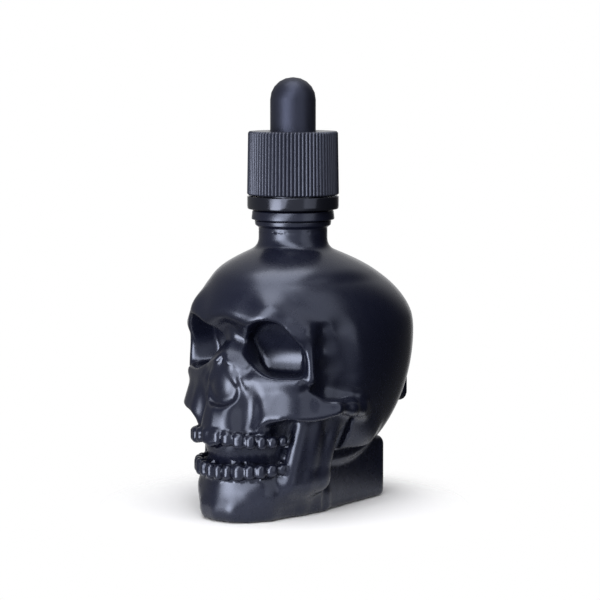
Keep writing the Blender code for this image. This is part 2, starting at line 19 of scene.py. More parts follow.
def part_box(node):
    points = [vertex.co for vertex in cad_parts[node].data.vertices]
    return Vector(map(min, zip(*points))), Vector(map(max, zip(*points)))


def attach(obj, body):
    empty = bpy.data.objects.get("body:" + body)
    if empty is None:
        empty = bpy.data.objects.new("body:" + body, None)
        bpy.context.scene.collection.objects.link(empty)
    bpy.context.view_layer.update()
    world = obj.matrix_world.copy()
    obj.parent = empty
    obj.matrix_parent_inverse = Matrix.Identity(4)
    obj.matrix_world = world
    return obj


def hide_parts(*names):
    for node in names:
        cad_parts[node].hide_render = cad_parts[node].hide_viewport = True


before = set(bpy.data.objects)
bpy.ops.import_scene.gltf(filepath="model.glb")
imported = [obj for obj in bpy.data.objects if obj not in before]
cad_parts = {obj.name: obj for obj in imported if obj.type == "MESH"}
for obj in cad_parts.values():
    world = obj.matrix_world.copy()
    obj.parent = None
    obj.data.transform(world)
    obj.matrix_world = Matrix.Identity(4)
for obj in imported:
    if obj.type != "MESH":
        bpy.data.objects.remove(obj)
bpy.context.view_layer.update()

log = logging.getLogger("bottle")

MM = 0.001
GROUND = 0.0
# Gap that stands in for the press of one piece on another
CLEARANCE = 0.3
# Turn of the camera about the vertical, from straight in front of the face
CAMERA_AZIMUTH = 42.0
# Climb of the thread in one turn, and how deep the foot of its ridge is sunk into the wall
THREAD_PITCH = 2.6
THREAD_SINK = 0.2
# Added to a divisor that can be zero
TINY = 1e-9


class Axis(IntEnum):
    """An axis of the model."""

    X = 0
    Y = 1
    Z = 2


class Body(Enum):
    """A body of the model, which moves as one."""

    BOTTLE = "bottle"
    SEAL = "seal"
    DROPPER = "dropper"
    CAP = "cap"


class Way(Enum):
    """What a step of the shaping does with its form."""

    ADD = "add"
    CUT = "cut"
    KEEP = "keep"


def low(node: str, axis: Axis = Axis.Z) -> float:
    """The lowest coordinate of a CAD node along an axis, in millimetres."""
    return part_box(node)[0][axis] / MM


def high(node: str, axis: Axis = Axis.Z) -> float:
    """The highest coordinate of a CAD node along an axis, in millimetres."""
    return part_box(node)[1][axis] / MM


# Forms, each known by the distance to its surface. Points are rows of x, y and z, and a distance
# is negative inside.

Points = np.ndarray
Distances = np.ndarray
Place = tuple[float, float, float]
Station = tuple[float, float, float, float]


def join(first: Distances, second: Distances, blend: float) -> Distances:
    """Both shapes, with a fillet of about the size of blend where they meet."""
    share = np.clip(0.5 + 0.5 * (second - first) / blend, 0, 1)
    return second * (1 - share) + first * share - blend * share * (1 - share)


def cut(shape: Distances, tool: Distances, blend: float) -> Distances:
    """The first shape without the second."""
    return -join(-shape, tool, blend)


def meet(first: Distances, second: Distances, blend: float) -> Distances:
    """What both shapes share."""
    return -join(-first, -second, blend)


WORK = {Way.ADD: join, Way.CUT: cut, Way.KEEP: meet}


class Form:
    """Anything with a surface."""

    def distance(self, points: Points) -> Distances:
        """The distance from each point to the surface."""
        raise NotImplementedError


@dataclass(frozen=True)
class Step:
    """A step of the shaping: a form, what is done with it, and about how large a fillet it leaves."""

    way: Way
    form: Form
    blend: float


def shaped(shape: Distances, points: Points, steps: tuple[Step, ...]) -> Distances:
    """A shape after some steps.

    Args:
        shape: The distance to the shape before them.
        points: Where the distance is wanted.
        steps: The steps in order.

    Returns:
        One distance for each point.
    """
    for step in steps:
        shape = WORK[step.way](shape, step.form.distance(points), step.blend)
    return shape


@dataclass(frozen=True)
class Shaped(Form):
    """A form after some steps."""

    start: Form
    steps: tuple[Step, ...]

    def distance(self, points: Points) -> Distances:
        """The distance to the form that the steps leave."""
        return shaped(self.start.distance(points), points, self.steps)


@dataclass(frozen=True)
class Ball(Form):
    """An ellipsoid. If depth_below is given, it is the half size below the centre."""

    centre: Place
    radii: Place
    depth_below: float | None = None

    def distance(self, points: Points) -> Distances:
        """The distance to the ellipsoid.

        Args:
            points: Where the distance is wanted.

        Returns:
            One distance for each point.
        """
        offset = points - np.array(self.centre)
        radius = np.broadcast_to(np.array(self.radii, float), offset.shape).copy()
        if self.depth_below is not None:
            radius[:, 2] = np.where(offset[:, 2] < 0, self.depth_below, self.radii[2])
        near = np.linalg.norm(offset / radius, axis=1)
        steep = np.linalg.norm(offset / radius**2, axis=1) + TINY
        return near * (near - 1.0) / steep


@dataclass(frozen=True)
class Rods(Form):
    """Round bars with domed ends that run end to end and taper from station to station.

    A station is a place and the radius there. The blend is the fillet between two bars.
    """

    stations: tuple[Station, ...]
    blend: float = 1.0

    def distance(self, points: Points) -> Distances:
        """The distance to the bars.

        Args:
            points: Where the distance is wanted.

        Returns:
            One distance for each point.
        """
        shape = None
        for (*start, radius), (*end, end_radius) in zip(self.stations, self.stations[1:]):
            first = np.array(start, float)
            along = np.array(end, float) - first
            share = np.clip(((points - first) @ along) / (along @ along), 0, 1)
            spine = first + share[:, None] * along
            rod = np.linalg.norm(points - spine, axis=1) - (radius + (end_radius - radius) * share)
            shape = rod if shape is None else join(shape, rod, self.blend)
        return shape


@dataclass(frozen=True)
class Wall(Form):
    """Bars that run end to end along a line in plan, drawn straight up between two heights."""

    line: tuple[tuple[float, float], ...]
    radius: float
    bottom: float
    top: float
    blend: float

    def distance(self, points: Points) -> Distances:
        """The distance to the wall.

        Args:
            points: Where the distance is wanted.

        Returns:
            One distance for each point.
        """
        flat = points.copy()
        flat[:, 2] = points[:, 2] - np.clip(points[:, 2], self.bottom, self.top)
        stations = tuple((*place, 0, self.radius) for place in self.line)
        return Rods(stations, self.blend).distance(flat)


@dataclass(frozen=True)
class Block(Form):
    """A box with rounded edges."""

    centre: Place
    half: Place
    rounding: float

    def distance(self, points: Points) -> Distances:
        """The distance to the box."""
        beyond = np.abs(points - np.array(self.centre)) - (np.array(self.half) - self.rounding)
        return np.linalg.norm(np.maximum(beyond, 0), axis=1) + np.minimum(beyond.max(1), 0) - self.rounding


@dataclass(frozen=True)
class Slab(Form):
    """Everything within half a thickness of a plane across an axis."""

    middle: float
    half: float
    axis: Axis = Axis.Z

    def distance(self, points: Points) -> Distances:
        """The distance to the slab."""
        return np.abs(points[:, self.axis] - self.middle) - self.half


@dataclass(frozen=True)
class Side(Form):
    """Everything behind a flat face, given by a place on it and the direction in which it looks."""

    place: Place
    direction: Place

    def distance(self, points: Points) -> Distances:
        """The distance to the face."""
        outward = np.array(self.direction, float)
        return (points - np.array(self.place)) @ (outward / np.linalg.norm(outward))


@dataclass(frozen=True)
class Drawn(Form):
    """The section of a form at y = 0, drawn along Y without an end."""

    section: Form

    def distance(self, points: Points) -> Distances:
        """The distance to the drawn section."""
        outline = points.copy()
        outline[:, 1] = 0
        return self.section.distance(outline)


def facing(points: Points, centre: Place, yaw: float) -> Points:
    """Points as measured from a place that is turned about the vertical.

    Args:
        points: Points to measure.
        centre: The place.
        yaw: Its turn in radians.

    Returns:
        The points across, behind and above that place.
    """
    offset = points - np.array(centre)
    cos, sin = math.cos(yaw), math.sin(yaw)
    across = offset[:, 0] * cos + offset[:, 1] * sin
    behind = offset[:, 1] * cos - offset[:, 0] * sin
    return np.stack([across, behind, offset[:, 2]], axis=1)


# The head, one half of it: x is the distance from the middle of the face


@dataclass(frozen=True)
class Cranium(Form):
    """An egg whose crown leans forward, toward the neck of the bottle."""

    middle: Place = (0, 3.9, 42.0)
    radii: Place = (23.8, 30.2, 20.9)
    depth_below: float = 35.0
    # 2 for a plain ellipsoid, more for one that is swollen upward and outward
    fullness: float = 2.05
    lean: float = 5.0
    lean_start: float = 46.0
    lean_height: float = 16.0
    lean_end: float = 17.0
    lean_power: float = 1.25

    def distance(self, points: Points) -> Distances:
        """The distance to the cranium.

        Args:
            points: Where the distance is wanted.

        Returns:
            One distance for each point.
        """
        rise = np.clip(points[:, 2] - self.lean_start, 0, self.lean_end)
        upright = points.copy()
        upright[:, 1] += self.lean * (rise / self.lean_height) ** self.lean_power
        lower = Ball(self.middle, self.radii, self.depth_below).distance(upright)
        return np.where(points[:, 2] > self.middle[2], self.upper(upright), lower)

    def upper(self, points: Points) -> Distances:
        """The distance to the swollen upper half.

        Args:
            points: Where the distance is wanted.

        Returns:
            One distance for each point.
        """
        scaled = np.abs(points - np.array(self.middle)) / np.array(self.radii)
        flat = np.hypot(scaled[:, 0], scaled[:, 1])
        near = (flat**self.fullness + scaled[:, 2] ** self.fullness) ** (1 / self.fullness) + TINY
        share_flat = (flat / near) ** (self.fullness - 1)
        share_up = (scaled[:, 2] / near) ** (self.fullness - 1)
        wide = np.linalg.norm(scaled[:, :2] / np.array(self.radii)[:2], axis=1) / (flat + TINY)
        steep = np.hypot(share_flat * wide, share_up / self.radii[2]) + TINY
        return (near - 1.0) / steep


@dataclass(frozen=True)
class EyeSocket(Form):
    """A pocket with a seven-sided rim. Its back leans away upward, which leaves a dark roof."""

    centre: Place = (11.0, -18.5, 40.5)
    yaw: float = math.atan2(5.5, 16.0)
    # each straight side of the rim: the direction that it faces, how far out it lies, and by
    # what share it draws in for each millimetre of depth
    sides: tuple = (
        ((1.0, 0.0), 7.9, 0.07),
        ((0.763, 0.647), 5.8, 0.03),
        ((0.0, 1.0), 6.9, 0.03),
        ((-0.766, 0.642), 7.46, 0.0),
        ((-1.0, 0.0), 8.6, 0.0),
        ((-0.615, -0.788), 6.1, -0.05),
        ((0.0, -1.0), 6.0, 0.014),
    )
    squareness: int = 8
    reach: float = 6.3
    # the rim draws in between these depths
    shallowest: float = -2.0
    deepest: float = 12.0
    inner_wall: Form = Side((-7.66, 0.0, 0.0), (-1.0, 0.19, -0.12))
    back: Form = Shaped(Side((0.0, 6.2, -1.9), (0.0, 1.0, -0.30)), (
        Step(Way.KEEP, Side((0.0, 6.2, -1.9), (0.0, 1.0, 0.45)), 1.6),
    ))
    bowl: Form = Ball((1.0, -6.0, -1.0), (15.0, 17.0, 11.5))

    def distance(self, points: Points) -> Distances:
        """The distance to the pocket.

        Args:
            points: Where the distance is wanted.

        Returns:
            One distance for each point.
        """
        local = facing(points, self.centre, self.yaw)
        depth = np.clip(local[:, 1], self.shallowest, self.deepest)
        total = 0
        for (across, up), distance, narrowing in self.sides:
            reach = (local[:, 0] * across + local[:, 2] * up) / (distance * (1 - narrowing * depth))
            total = total + np.maximum(reach, 0) ** self.squareness
        tube = (total ** (1 / self.squareness) - 1) * self.reach
        return shaped(tube, local, (
            Step(Way.KEEP, self.inner_wall, 0.5),
            Step(Way.KEEP, self.back, 0.5),
            Step(Way.KEEP, self.bowl, 1.0),
        ))


@dataclass(frozen=True)
class ToothRow(Form):
    """An arch of teeth, given from the middle of the face to the last tooth of one side."""

    height: float
    half_height: float
    front: float
    half_width: float
    # for each tooth: its width, its share of the height, and how far it stands above the row
    sizes: tuple
    arch_back: float = 14.0
    depth: float = 1.25
    gap: float = 0.12
    rounding: float = 0.95
    # beyond this a distance to the teeth has no use, and isn't worked out
    far: float = 6.0
    far_above: float = 9.0
    arch_steps: int = 200

    def distance(self, points: Points) -> Distances:
        """The distance to rounded blocks that stand along half an ellipse.

        Args:
            points: Where the distance is wanted.

        Returns:
            One distance for each point.
        """
        shape = np.full(len(points), self.far)
        near = (np.abs(points[:, 2] - self.height) < self.far_above) & (points[:, 1] < -self.far)
        local = points[near]
        turn = np.linspace(0, math.pi / 2, self.arch_steps)
        reach = self.front - self.arch_back
        steps = np.hypot(
            np.diff(self.half_width * np.sin(turn)), np.diff(reach * np.cos(turn))
        )
        travelled = np.concatenate([[0], np.cumsum(steps)])
        row = np.full(len(local), self.far)
        start = 0.0
        for width, share, rise in self.sizes:
            angle = np.interp(start + width / 2, travelled, turn)
            start += width
            centre = (
                self.half_width * math.sin(angle),
                -self.arch_back - reach * math.cos(angle),
                self.height + rise,
            )
            yaw = math.atan2(math.sin(angle) / self.half_width, math.cos(angle) / reach)
            half = (width / 2 - self.gap, self.depth, self.half_height * share)
            tooth = Block((0, 0, 0), half, min(half[0], self.rounding))
            row = np.minimum(row, tooth.distance(facing(local, centre, yaw)))
        shape[near] = row
        return shape


@dataclass(frozen=True)
class NasalBones(Form):
    """The nasal bones, as a roof whose ridge runs down and forward from the brow."""

    # these two round the ridge: a larger bend is softer, and the drop puts the ridge back in its place
    ridge_bend: float = 0.8
    ridge_drop: float = 0.9
    roof: Form = Side((0, -25.4, 38.8), (1.15, -1.0, 1.25))
    wings: Form = Shaped(Slab(0, 5.6, Axis.X), (
        Step(Way.KEEP, Side((0, -25.4, 37.6), (0, -0.35, -1.0)), 0.5),
        Step(Way.KEEP, Side((0, -12.0, 0), (0, 1.0, 0)), 0.5),
    ))
    root: Form = Side((0, -18.0, 47.0), (0, 0.3, 1.0))

    def distance(self, points: Points) -> Distances:
        """The distance to the nasal bones.

        Args:
            points: Where the distance is wanted.

        Returns:
            One distance for each point.
        """
        soft = points.copy()
        soft[:, 0] = np.sqrt(points[:, 0] ** 2 + self.ridge_bend) - self.ridge_drop
        roof = self.roof.distance(soft)
        return shaped(roof, points, (Step(Way.KEEP, self.wings, 0.5), Step(Way.KEEP, self.root, 1.5)))


@dataclass(frozen=True)
class NoseOpening(Form):
    """The pear-shaped opening below the nasal bones, drawn into the face and closed behind it."""

    outline: Form = Drawn(Rods(((0, 0, 38.2, 0.7), (1.0, 0, 31.4, 4.0))))
    back: Form = Side((0, -17.5, 0), (0, 1.0, 0))

    def distance(self, points: Points) -> Distances:
        """The distance to the opening."""
        return np.maximum(self.outline.distance(points), self.back.distance(points))


@dataclass(frozen=True)
class Cheekbone(Form):
    """A front face and a side face that meet in an upright edge over a flat lower border."""

    front: Form = Side((17.3, -20.3, 27.0), (0.37, -0.90, 0.27))
    outside: Form = Side((17.3, -20.3, 27.0), (0.875, -0.484, 0.28))
    # the part that rises beside the nose
    process: Form = Side((5.0, -22.9, 35.4), (0.33, -0.79, 0.51))
    top: Form = Side((3.9, -20.9, 39.2), (0, -0.5, 1.0))
    border: Form = Shaped(Side((0, 0, 24.2), (0, 0, -1.0)), (
        Step(Way.ADD, Side((13.2, 0, 24.2), (0.5, 0, -1.0)), 0.8),
    ))
    rear_border: Form = Side((21.0, -13.0, 24.3), (0, 0.5, -1.0))
    # the edge behind the socket runs down steeply, and then back toward the arch
    rear_edge: Form = Shaped(Side((20.4, -14.8, 31.5), (0, 1.0, 0.32)), (
        Step(Way.ADD, Side((20.4, -14.8, 31.2), (0, 0.55, 1.0)), 0.5),
    ))
    rear: Form = Side((22.5, -9.4, 28.0), (0.2, 1.0, 0.0))
    # the upper jaw stands below it, back to a crest
    canine: Form = Side((5.8, -24.8, 24.0), (0.45, -0.88, -0.15))
    crest: Form = Side((11.3, -22.0, 24.0), (1.0, 0.3, -0.12))
    jaw_height: Form = Slab(25.4, 4.5)

    def distance(self, points: Points) -> Distances:
        """The distance to the cheekbone and the upper jaw below it.

        Args:
            points: Where the distance is wanted.

        Returns:
            One distance for each point.
        """
        jaw = Shaped(self.front, (
            Step(Way.KEEP, self.canine, 1.5),
            Step(Way.KEEP, self.crest, 1.6),
            Step(Way.KEEP, self.jaw_height, 1.6),
        ))
        return shaped(self.front.distance(points), points, (
            Step(Way.KEEP, self.process, 1.0),
            Step(Way.KEEP, self.top, 0.5),
            Step(Way.KEEP, self.outside, 2.0),
            Step(Way.KEEP, self.border, 2.0),
            Step(Way.KEEP, self.rear_border, 1.0),
            Step(Way.KEEP, self.rear_edge, 0.6),
            Step(Way.KEEP, self.rear, 1.0),
            Step(Way.ADD, jaw, 1.0),
        ))


@dataclass(frozen=True)
class LowerJaw(Form):
    """Chin, jaw body and the branch that rises to the ear."""

    foot: Form = Wall(
        line=((0.0, -23.2), (3.6, -22.4), (7.2, -18.0), (8.6, -9.0), (9.4, -2.0)),
        radius=3.2, bottom=2.2, top=3.4, blend=1,
    )
    body: Form = Rods((
        (0, -22.6, 7.0, 3.6), (6.9, -19.3, 7.4, 4.1), (11.2, -10.5, 9.0, 3.8), (12.6, -6.0, 9.5, 3.2),
    ))
    chin: Form = Rods(((0, -24.5, 2.7, 3.5), (3.0, -23.9, 2.7, 3.5)))
    underside: Form = Block((0, -10.0, 4.0), (8.2, 14.0, 5.0), 2.0)
    branch: Form = Shaped(Rods(((12.2, -15.0, 9.0, 2.4), (15.0, -12.0, 28.0, 1.4))), (
        Step(Way.ADD, Rods(((13.6, -6.4, 9.0, 2.4), (17.8, -4.6, 25.5, 1.6))), 2),
        Step(Way.ADD, Rods(((13.0, -10.8, 9.0, 2.4), (16.4, -9.4, 25.0, 1.8))), 3),
    ))
    gum: Form = Shaped(Ball((0, -14.0, 8.9), (10.8, 13.0, 24.0)), (Step(Way.KEEP, Slab(8.0, 3.4), 1.0),))

    def distance(self, points: Points) -> Distances:
        """The distance to the lower jaw without its teeth.

        Args:
            points: Where the distance is wanted.

        Returns:
            One distance for each point.
        """
        return shaped(self.foot.distance(points), points, (
            Step(Way.ADD, self.body, 5),
            Step(Way.ADD, self.chin, 1.8),
            Step(Way.ADD, self.underside, 2),
            Step(Way.ADD, self.branch, 2),
            Step(Way.ADD, self.gum, 2),
        ))


@dataclass(frozen=True)
class SquaredFoot(Form):
    """The squared foot below the back of the head, narrower to the rear."""

    box: Form = Block((0, 10.6, 7.4), (11.8, 13.2, 7.8), 2.2)
    narrowing: float = 0.0085
    full_width_y: float = -1.0

    def distance(self, points: Points) -> Distances:
        """The distance to the foot."""
        narrowed = points.copy()
        narrowed[:, 0] *= 1 + (points[:, 1] - self.full_width_y) * self.narrowing
        return self.box.distance(narrowed)


@dataclass(frozen=True)
class SkullForm(Form):
    """The outer form of the head with the start of its neck."""

    height: float = 63.1
    stem_radius: float = 8.25
    shoulder_blend: float = 1.9
    # the cone that carries the crown into the neck: how much it widens downward, and the length
    # that this slope gives its normal
    flare_radius: float = 10.6
    flare_height: float = 61.1
    flare_slope: float = 1.65
    flare_normal: float = 1.93
    flare_foot: Form = Side((0, 0, 58.0), (0, 0, -1.0))
    flare_blend: float = 3.0

    cranium: Form = Cranium()
    # where the face dips in at the sockets, and the frontal bone behind them
    eye_dip: Form = Rods(((0, -26.4, 41.0, 6.8), (24.0, -25.5, 36.6, 6.0)))
    frontal_hollow: Form = Rods(((24.3, -15.6, 44.0, 3.2), (21.6, -15.6, 56.0, 1.0)))
    broad_hollow: Form = Rods(((25.4, -9.6, 44.0, 3.6), (25.2, -8.6, 34.0, 4.8)))
    mid_face: Form = Ball((0, -13.5, 30.0), (13.0, 10.5, 12.0))
    brow: Form = Rods(((1.4, -17.2, 47.4, 2.4), (10.2, -19.4, 48.2, 2.4), (17.4, -15.6, 44.8, 1.6)), 2)
    outer_rim: Form = Rods(((18.3, -14.9, 43.6, 1.0), (18.9, -14.7, 34.0, 1.2)))
    lower_rim: Form = Rods(((7.6, -21.2, 33.8, 0.9), (16.6, -17.2, 33.2, 1.1)))
    cheekbone: Form = Cheekbone()
    upper_jaw: Form = Ball((0, -14.5, 27.0), (10.6, 11.8, 9.0))
    upper_gum: Form = Shaped(Ball((0, -14.4, 23.2), (12.2, 13.5, 9.0)), (Step(Way.KEEP, Slab(23.6, 3.0), 2),))
    canine_dimple: Form = Ball((7.9, -26.5, 26.6), (3.0, 4.0, 6.6))
    nose: Form = NasalBones()
    nose_root: Form = Rods(((0, -18.4, 43.4, 2.2), (0, -18.9, 47.5, 2.6)))
    # the furrow beside the nose, between its rim and the cheek
    nose_furrow: Form = Rods((
        (3.6, -24.0, 36.2, 0.3), (4.7, -24.0, 34.0, 0.5), (6.1, -24.3, 31.0, 0.7),
        (7.0, -24.6, 27.0, 1.0), (7.5, -24.2, 23.6, 0.7),
    ), 0.5)
    nose_spine: Form = Rods(((0, -24.2, 27.6, 0.7), (0, -26.2, 23.6, 0.7)))
    # the hollow behind the cheekbone, and the arch that crosses it
    temporal_hollow: Form = Rods((
        (20.3, -11.6, 45.4, 0.5), (20.6, -11.2, 41.2, 1.3), (20.8, -10.4, 35.6, 2.3),
        (21.0, -9.5, 31.4, 2.8), (21.8, -6.2, 30.4, 1.9), (22.5, -2.6, 29.4, 0.8),
    ), 2.0)
    cheek_arch: Form = Rods((
        (19.2, -12.6, 27.6, 1.6), (21.5, -8.8, 27.2, 1.2), (21.8, -4.0, 26.5, 1.3),
        (21.0, 0.2, 26.0, 1.3), (19.6, 2.8, 24.4, 1.0),
    ), 2.5)
    eye: Form = EyeSocket()
    nose_opening: Form = NoseOpening()
    nose_back: Form = Ball((0, -19.4, 32.4), (6.4, 6.0, 8.8))

    throat: Form = Ball((0, -9.0, 10.0), (11.5, 16.5, 14.0))
    tongue: Form = Shaped(Ball((0, -12.0, 20.5), (11.2, 14.8, 15.0)), (Step(Way.KEEP, Slab(16.5, 3.4), 1.5),))
    mouth_corner: Form = Ball((15.2, -18.6, 18.0), (3.8, 2.6, 7.5))
    below_cheek: Form = Ball((15.4, -17.4, 21.1), (3.8, 4.4, 3.2))
    lower_jaw: Form = LowerJaw()
    upper_teeth: Form = ToothRow(20.4, 1.9, 28.2, 13.2, (
        (2.9, 1.00, 0.0), (2.7, 0.92, -0.2), (2.9, 1.00, -0.6), (2.6, 0.90, -0.9),
        (2.6, 0.85, -1.1), (2.7, 0.75, -1.1), (2.5, 0.70, -1.0),
    ))
    lower_teeth: Form = ToothRow(12.0, 1.9, 27.3, 12.4, (
        (2.4, 1.00, 0.0), (2.5, 1.00, 0.1), (2.7, 1.05, 0.2), (2.6, 0.95, 0.3),
        (2.6, 0.90, 0.4), (2.9, 0.80, 0.5), (2.8, 0.70, 0.6),
    ))
    ear_boss: Form = Ball((13.6, 6.2, 22.5), (5.6, 7.0, 8.5))
    # the line between the branch of the jaw and the boss behind it
    ear_groove: Form = Rods(((19.6, -1.2, 25.0, 0.6), (17.4, -1.6, 20.5, 1.4), (15.0, -1.8, 15.0, 1.7)), 0.8)
    undercut: Form = Block((20.4, 10.6, 8.0), (8.4, 14.2, 7.4), 1.0)
    foot: Form = SquaredFoot()
    # the low boss on the back of the head
    heel: Form = Shaped(Drawn(Block((0, 0, 26.8), (9.0, 3.0, 4.2), 2.4)), (
        Step(Way.KEEP, Slab(26.8, 6.2, Axis.Y), 0.8),
    ))

    def upper_steps(self) -> tuple[Step, ...]:
        """The steps that make the upper face out of the cranium.

        Returns:
            The steps in order.
        """
        return (
            Step(Way.CUT, self.eye_dip, 3),
            Step(Way.CUT, self.frontal_hollow, 4),
            Step(Way.CUT, self.broad_hollow, 4),
            Step(Way.ADD, self.mid_face, 3),
            Step(Way.ADD, self.brow, 4),
            Step(Way.ADD, self.outer_rim, 1.2),
            Step(Way.ADD, self.cheekbone, 1.5),
            Step(Way.ADD, self.lower_rim, 2.5),
            Step(Way.ADD, self.upper_jaw, 3),
            Step(Way.ADD, self.upper_gum, 2),
            Step(Way.CUT, self.canine_dimple, 2.5),
            Step(Way.ADD, self.nose, 2.2),
            Step(Way.ADD, self.nose_root, 1.5),
            Step(Way.CUT, self.nose_furrow, 1.0),
            Step(Way.ADD, self.nose_spine, 0.8),
            Step(Way.CUT, self.temporal_hollow, 2.4),
            Step(Way.ADD, self.cheek_arch, 2.0),
            Step(Way.CUT, self.eye, 0.8),
            Step(Way.CUT, self.nose_opening, 1.3),
            Step(Way.ADD, self.nose_back, 2.0),
        )

    def lower_steps(self) -> tuple[Step, ...]:
        """The steps that add mouth, jaw, ear and foot to the upper face.

        Returns:
            The steps in order.
        """
        return (
            Step(Way.ADD, self.throat, 2),
            Step(Way.ADD, self.tongue, 1),
            Step(Way.CUT, self.mouth_corner, 1.6),
            Step(Way.CUT, self.below_cheek, 1.8),
            Step(Way.ADD, self.lower_jaw, 1.0),
            Step(Way.ADD, self.upper_teeth, 0.5),
            Step(Way.ADD, self.lower_teeth, 0.5),
            Step(Way.ADD, self.ear_boss, 2),
            Step(Way.CUT, self.ear_groove, 0.5),
            Step(Way.CUT, self.undercut, 0.6),
            Step(Way.ADD, self.foot, 0.8),
            Step(Way.ADD, self.heel, 1.2),
        )

    def distance(self, points: Points, stem_above: float = 4.0) -> Distances:
        """The distance to the whole head with the start of its neck.

        Args:
            points: Where the distance is wanted.
            stem_above: How far the neck is drawn above and below the crown.

        Returns:
            One distance for each point.
        """
        half = points.copy()
        half[:, 0] = np.abs(half[:, 0])
        shape = shaped(self.cranium.distance(half), half, self.upper_steps() + self.lower_steps())
        around = np.hypot(points[:, 0], points[:, 1])
        stem = np.maximum(
            around - self.stem_radius, np.abs(points[:, 2] - self.height) - stem_above
        )
        slope_height = self.flare_slope * (points[:, 2] - self.flare_height)
        cone = (around - self.flare_radius + slope_height) / self.flare_normal
        flare = meet(cone, self.flare_foot.distance(points), self.flare_blend)
        return join(join(shape, flare, self.flare_blend), stem, self.shoulder_blend)


# Mesh tools


def add_node(tree: bpy.types.NodeTree, kind: str, inputs: dict[str | int, object] | None = None,
             **settings: object) -> bpy.types.Node:
    """Adds a node with its settings and links.

    Args:
        tree: Node tree that receives the node.
        kind: Blender's name for the type of node.
        inputs: For each input, a value or the output socket that feeds it.
        **settings: Properties of the node.

    Returns:
        The node.
    """
    node = tree.nodes.new(kind)
    for name, value in settings.items():
        setattr(node, name, value)
    for name, value in (inputs or {}).items():
        if isinstance(value, bpy.types.NodeSocket):
            tree.links.new(value, node.inputs[name])
        else:
            node.inputs[name].default_value = value
    return node


def settle(mesh: bpy.types.Mesh, distance: Callable[[Points], Distances], steps: int, farthest: float,
           least_growth: float = 0.4) -> None:
    """Moves the points of a mesh onto the surface where a distance is zero.

    Args:
        mesh: Mesh that is already near the surface.
        distance: Distance to the surface at each point.
        steps: How many times each point is moved.
        farthest: The most that a point moves in one step.
        least_growth: What is taken where the distance grows more slowly, so that no point runs away.
    """
    flat = np.empty(len(mesh.vertices) * 3)
    mesh.vertices.foreach_get("co", flat)
    points = flat.reshape(-1, 3)
    for _ in range(steps):
        outward, steep = slope(points, distance)
        move = np.clip(distance(points)[:, None] / np.maximum(steep, least_growth), -farthest, farthest)
        points = points - move * outward
    mesh.vertices.foreach_set("co", points.ravel())
    mesh.update()


def slope(points: Points, distance: Callable[[Points], Distances],
          probe: float = 0.04) -> tuple[Points, Points]:
    """The direction in which a distance grows at each point, and how fast it grows.

    Args:
        points: Where the direction is wanted.
        distance: Distance to a surface at each point.
        probe: Length of the steps by which the growth is measured.

    Returns:
        Directions of length one, and growth for each unit of length.
    """
    corners = probe * np.array([[1, 1, 1], [1, -1, -1], [-1, 1, -1], [-1, -1, 1]])
    growth = sum(corner * distance(points + corner)[:, None] for corner in corners)
    growth = growth / (4 * probe**2)
    steep = np.linalg.norm(growth, axis=1, keepdims=True) + TINY
    return growth / steep, steep


def with_modifier(mesh: bpy.types.Mesh, kind: str, **settings: object) -> bpy.types.Mesh:
    """The mesh that one modifier makes of a mesh.

    Args:
        mesh: Mesh to start from.
        kind: Blender's name for the type of modifier.
        **settings: Values of the modifier.

    Returns:
        A new mesh.
    """
    holder = bpy.data.objects.new("holder", mesh)
    bpy.context.scene.collection.objects.link(holder)
    modifier = holder.modifiers.new(kind.title(), kind)
    for name, value in settings.items():
        setattr(modifier, name, value)
    graph = bpy.context.evaluated_depsgraph_get()
    result = bpy.data.meshes.new_from_object(holder.evaluated_get(graph))
    bpy.data.objects.remove(holder)
    return result


def filling(radius: float) -> bpy.types.NodeTree:
    """Geometry nodes that grow a ball at every point of a mesh and skin them all as one.

    Args:
        radius: Radius of the balls.

    Returns:
        The node tree.
    """
    tree = bpy.data.node_groups.new("filling", "GeometryNodeTree")
    for way in ("INPUT", "OUTPUT"):
        tree.interface.new_socket("Geometry", in_out=way, socket_type="NodeSocketGeometry")
    given = add_node(tree, "NodeGroupInput")
    points = add_node(tree, "GeometryNodeMeshToPoints", {"Mesh": given.outputs[0], "Radius": radius})
    volume = add_node(tree, "GeometryNodePointsToVolume", {
        "Points": points.outputs[0], "Radius": radius, "Voxel Size": radius / 2,
    }, resolution_mode="VOXEL_SIZE")
    skin = add_node(tree, "GeometryNodeVolumeToMesh", {"Volume": volume.outputs[0]})
    add_node(tree, "NodeGroupOutput", {0: skin.outputs[0]})
    return tree


def moulded(distance: Callable[[Points], Distances], corner: Place, far_corner: Place, grain: float,
            spacing: float = 0.9) -> bpy.types.Mesh:
    """A closed form: balls packed inside an exact surface, skinned, and laid onto that surface.

    Args:
        distance: Distance to the surface at each point.
        corner: Lowest corner of a box round the form.
        far_corner: Highest corner of that box.
        grain: Edge length of the faces.
        spacing: Distance between the balls.

    Returns:
        A mesh in millimetres.
    """
    ranges = [np.arange(start, end, spacing) for start, end in zip(corner, far_corner)]
    lattice = np.stack(np.meshgrid(*ranges, indexing="ij"), axis=-1).reshape(-1, 3)
    work = bmesh.new()
    inset = 0.6 * spacing
    for point in lattice[distance(lattice) < -inset]:
        work.verts.new(point)
    mesh = bpy.data.meshes.new("rough")
    work.to_mesh(mesh)
    work.free()
    mesh = with_modifier(mesh, "NODES", node_group=filling(spacing))
    coarse_grain = max(grain, 0.8)
    for size, steps in ((coarse_grain, 4), (grain, 5)):
        mesh = with_modifier(mesh, "REMESH", mode="VOXEL", voxel_size=size, adaptivity=0.0)
        settle(mesh, distance, steps, farthest=spacing)
        mesh = with_modifier(mesh, "SMOOTH", factor=0.3, iterations=1)
    settle(mesh, distance, steps=3, farthest=0.3)
    return mesh


@dataclass(frozen=True)
class Corner:
    """A corner of a turned profile, with the radius of its fillet."""

    radius: float
    height: float
    fillet: float = 0.0


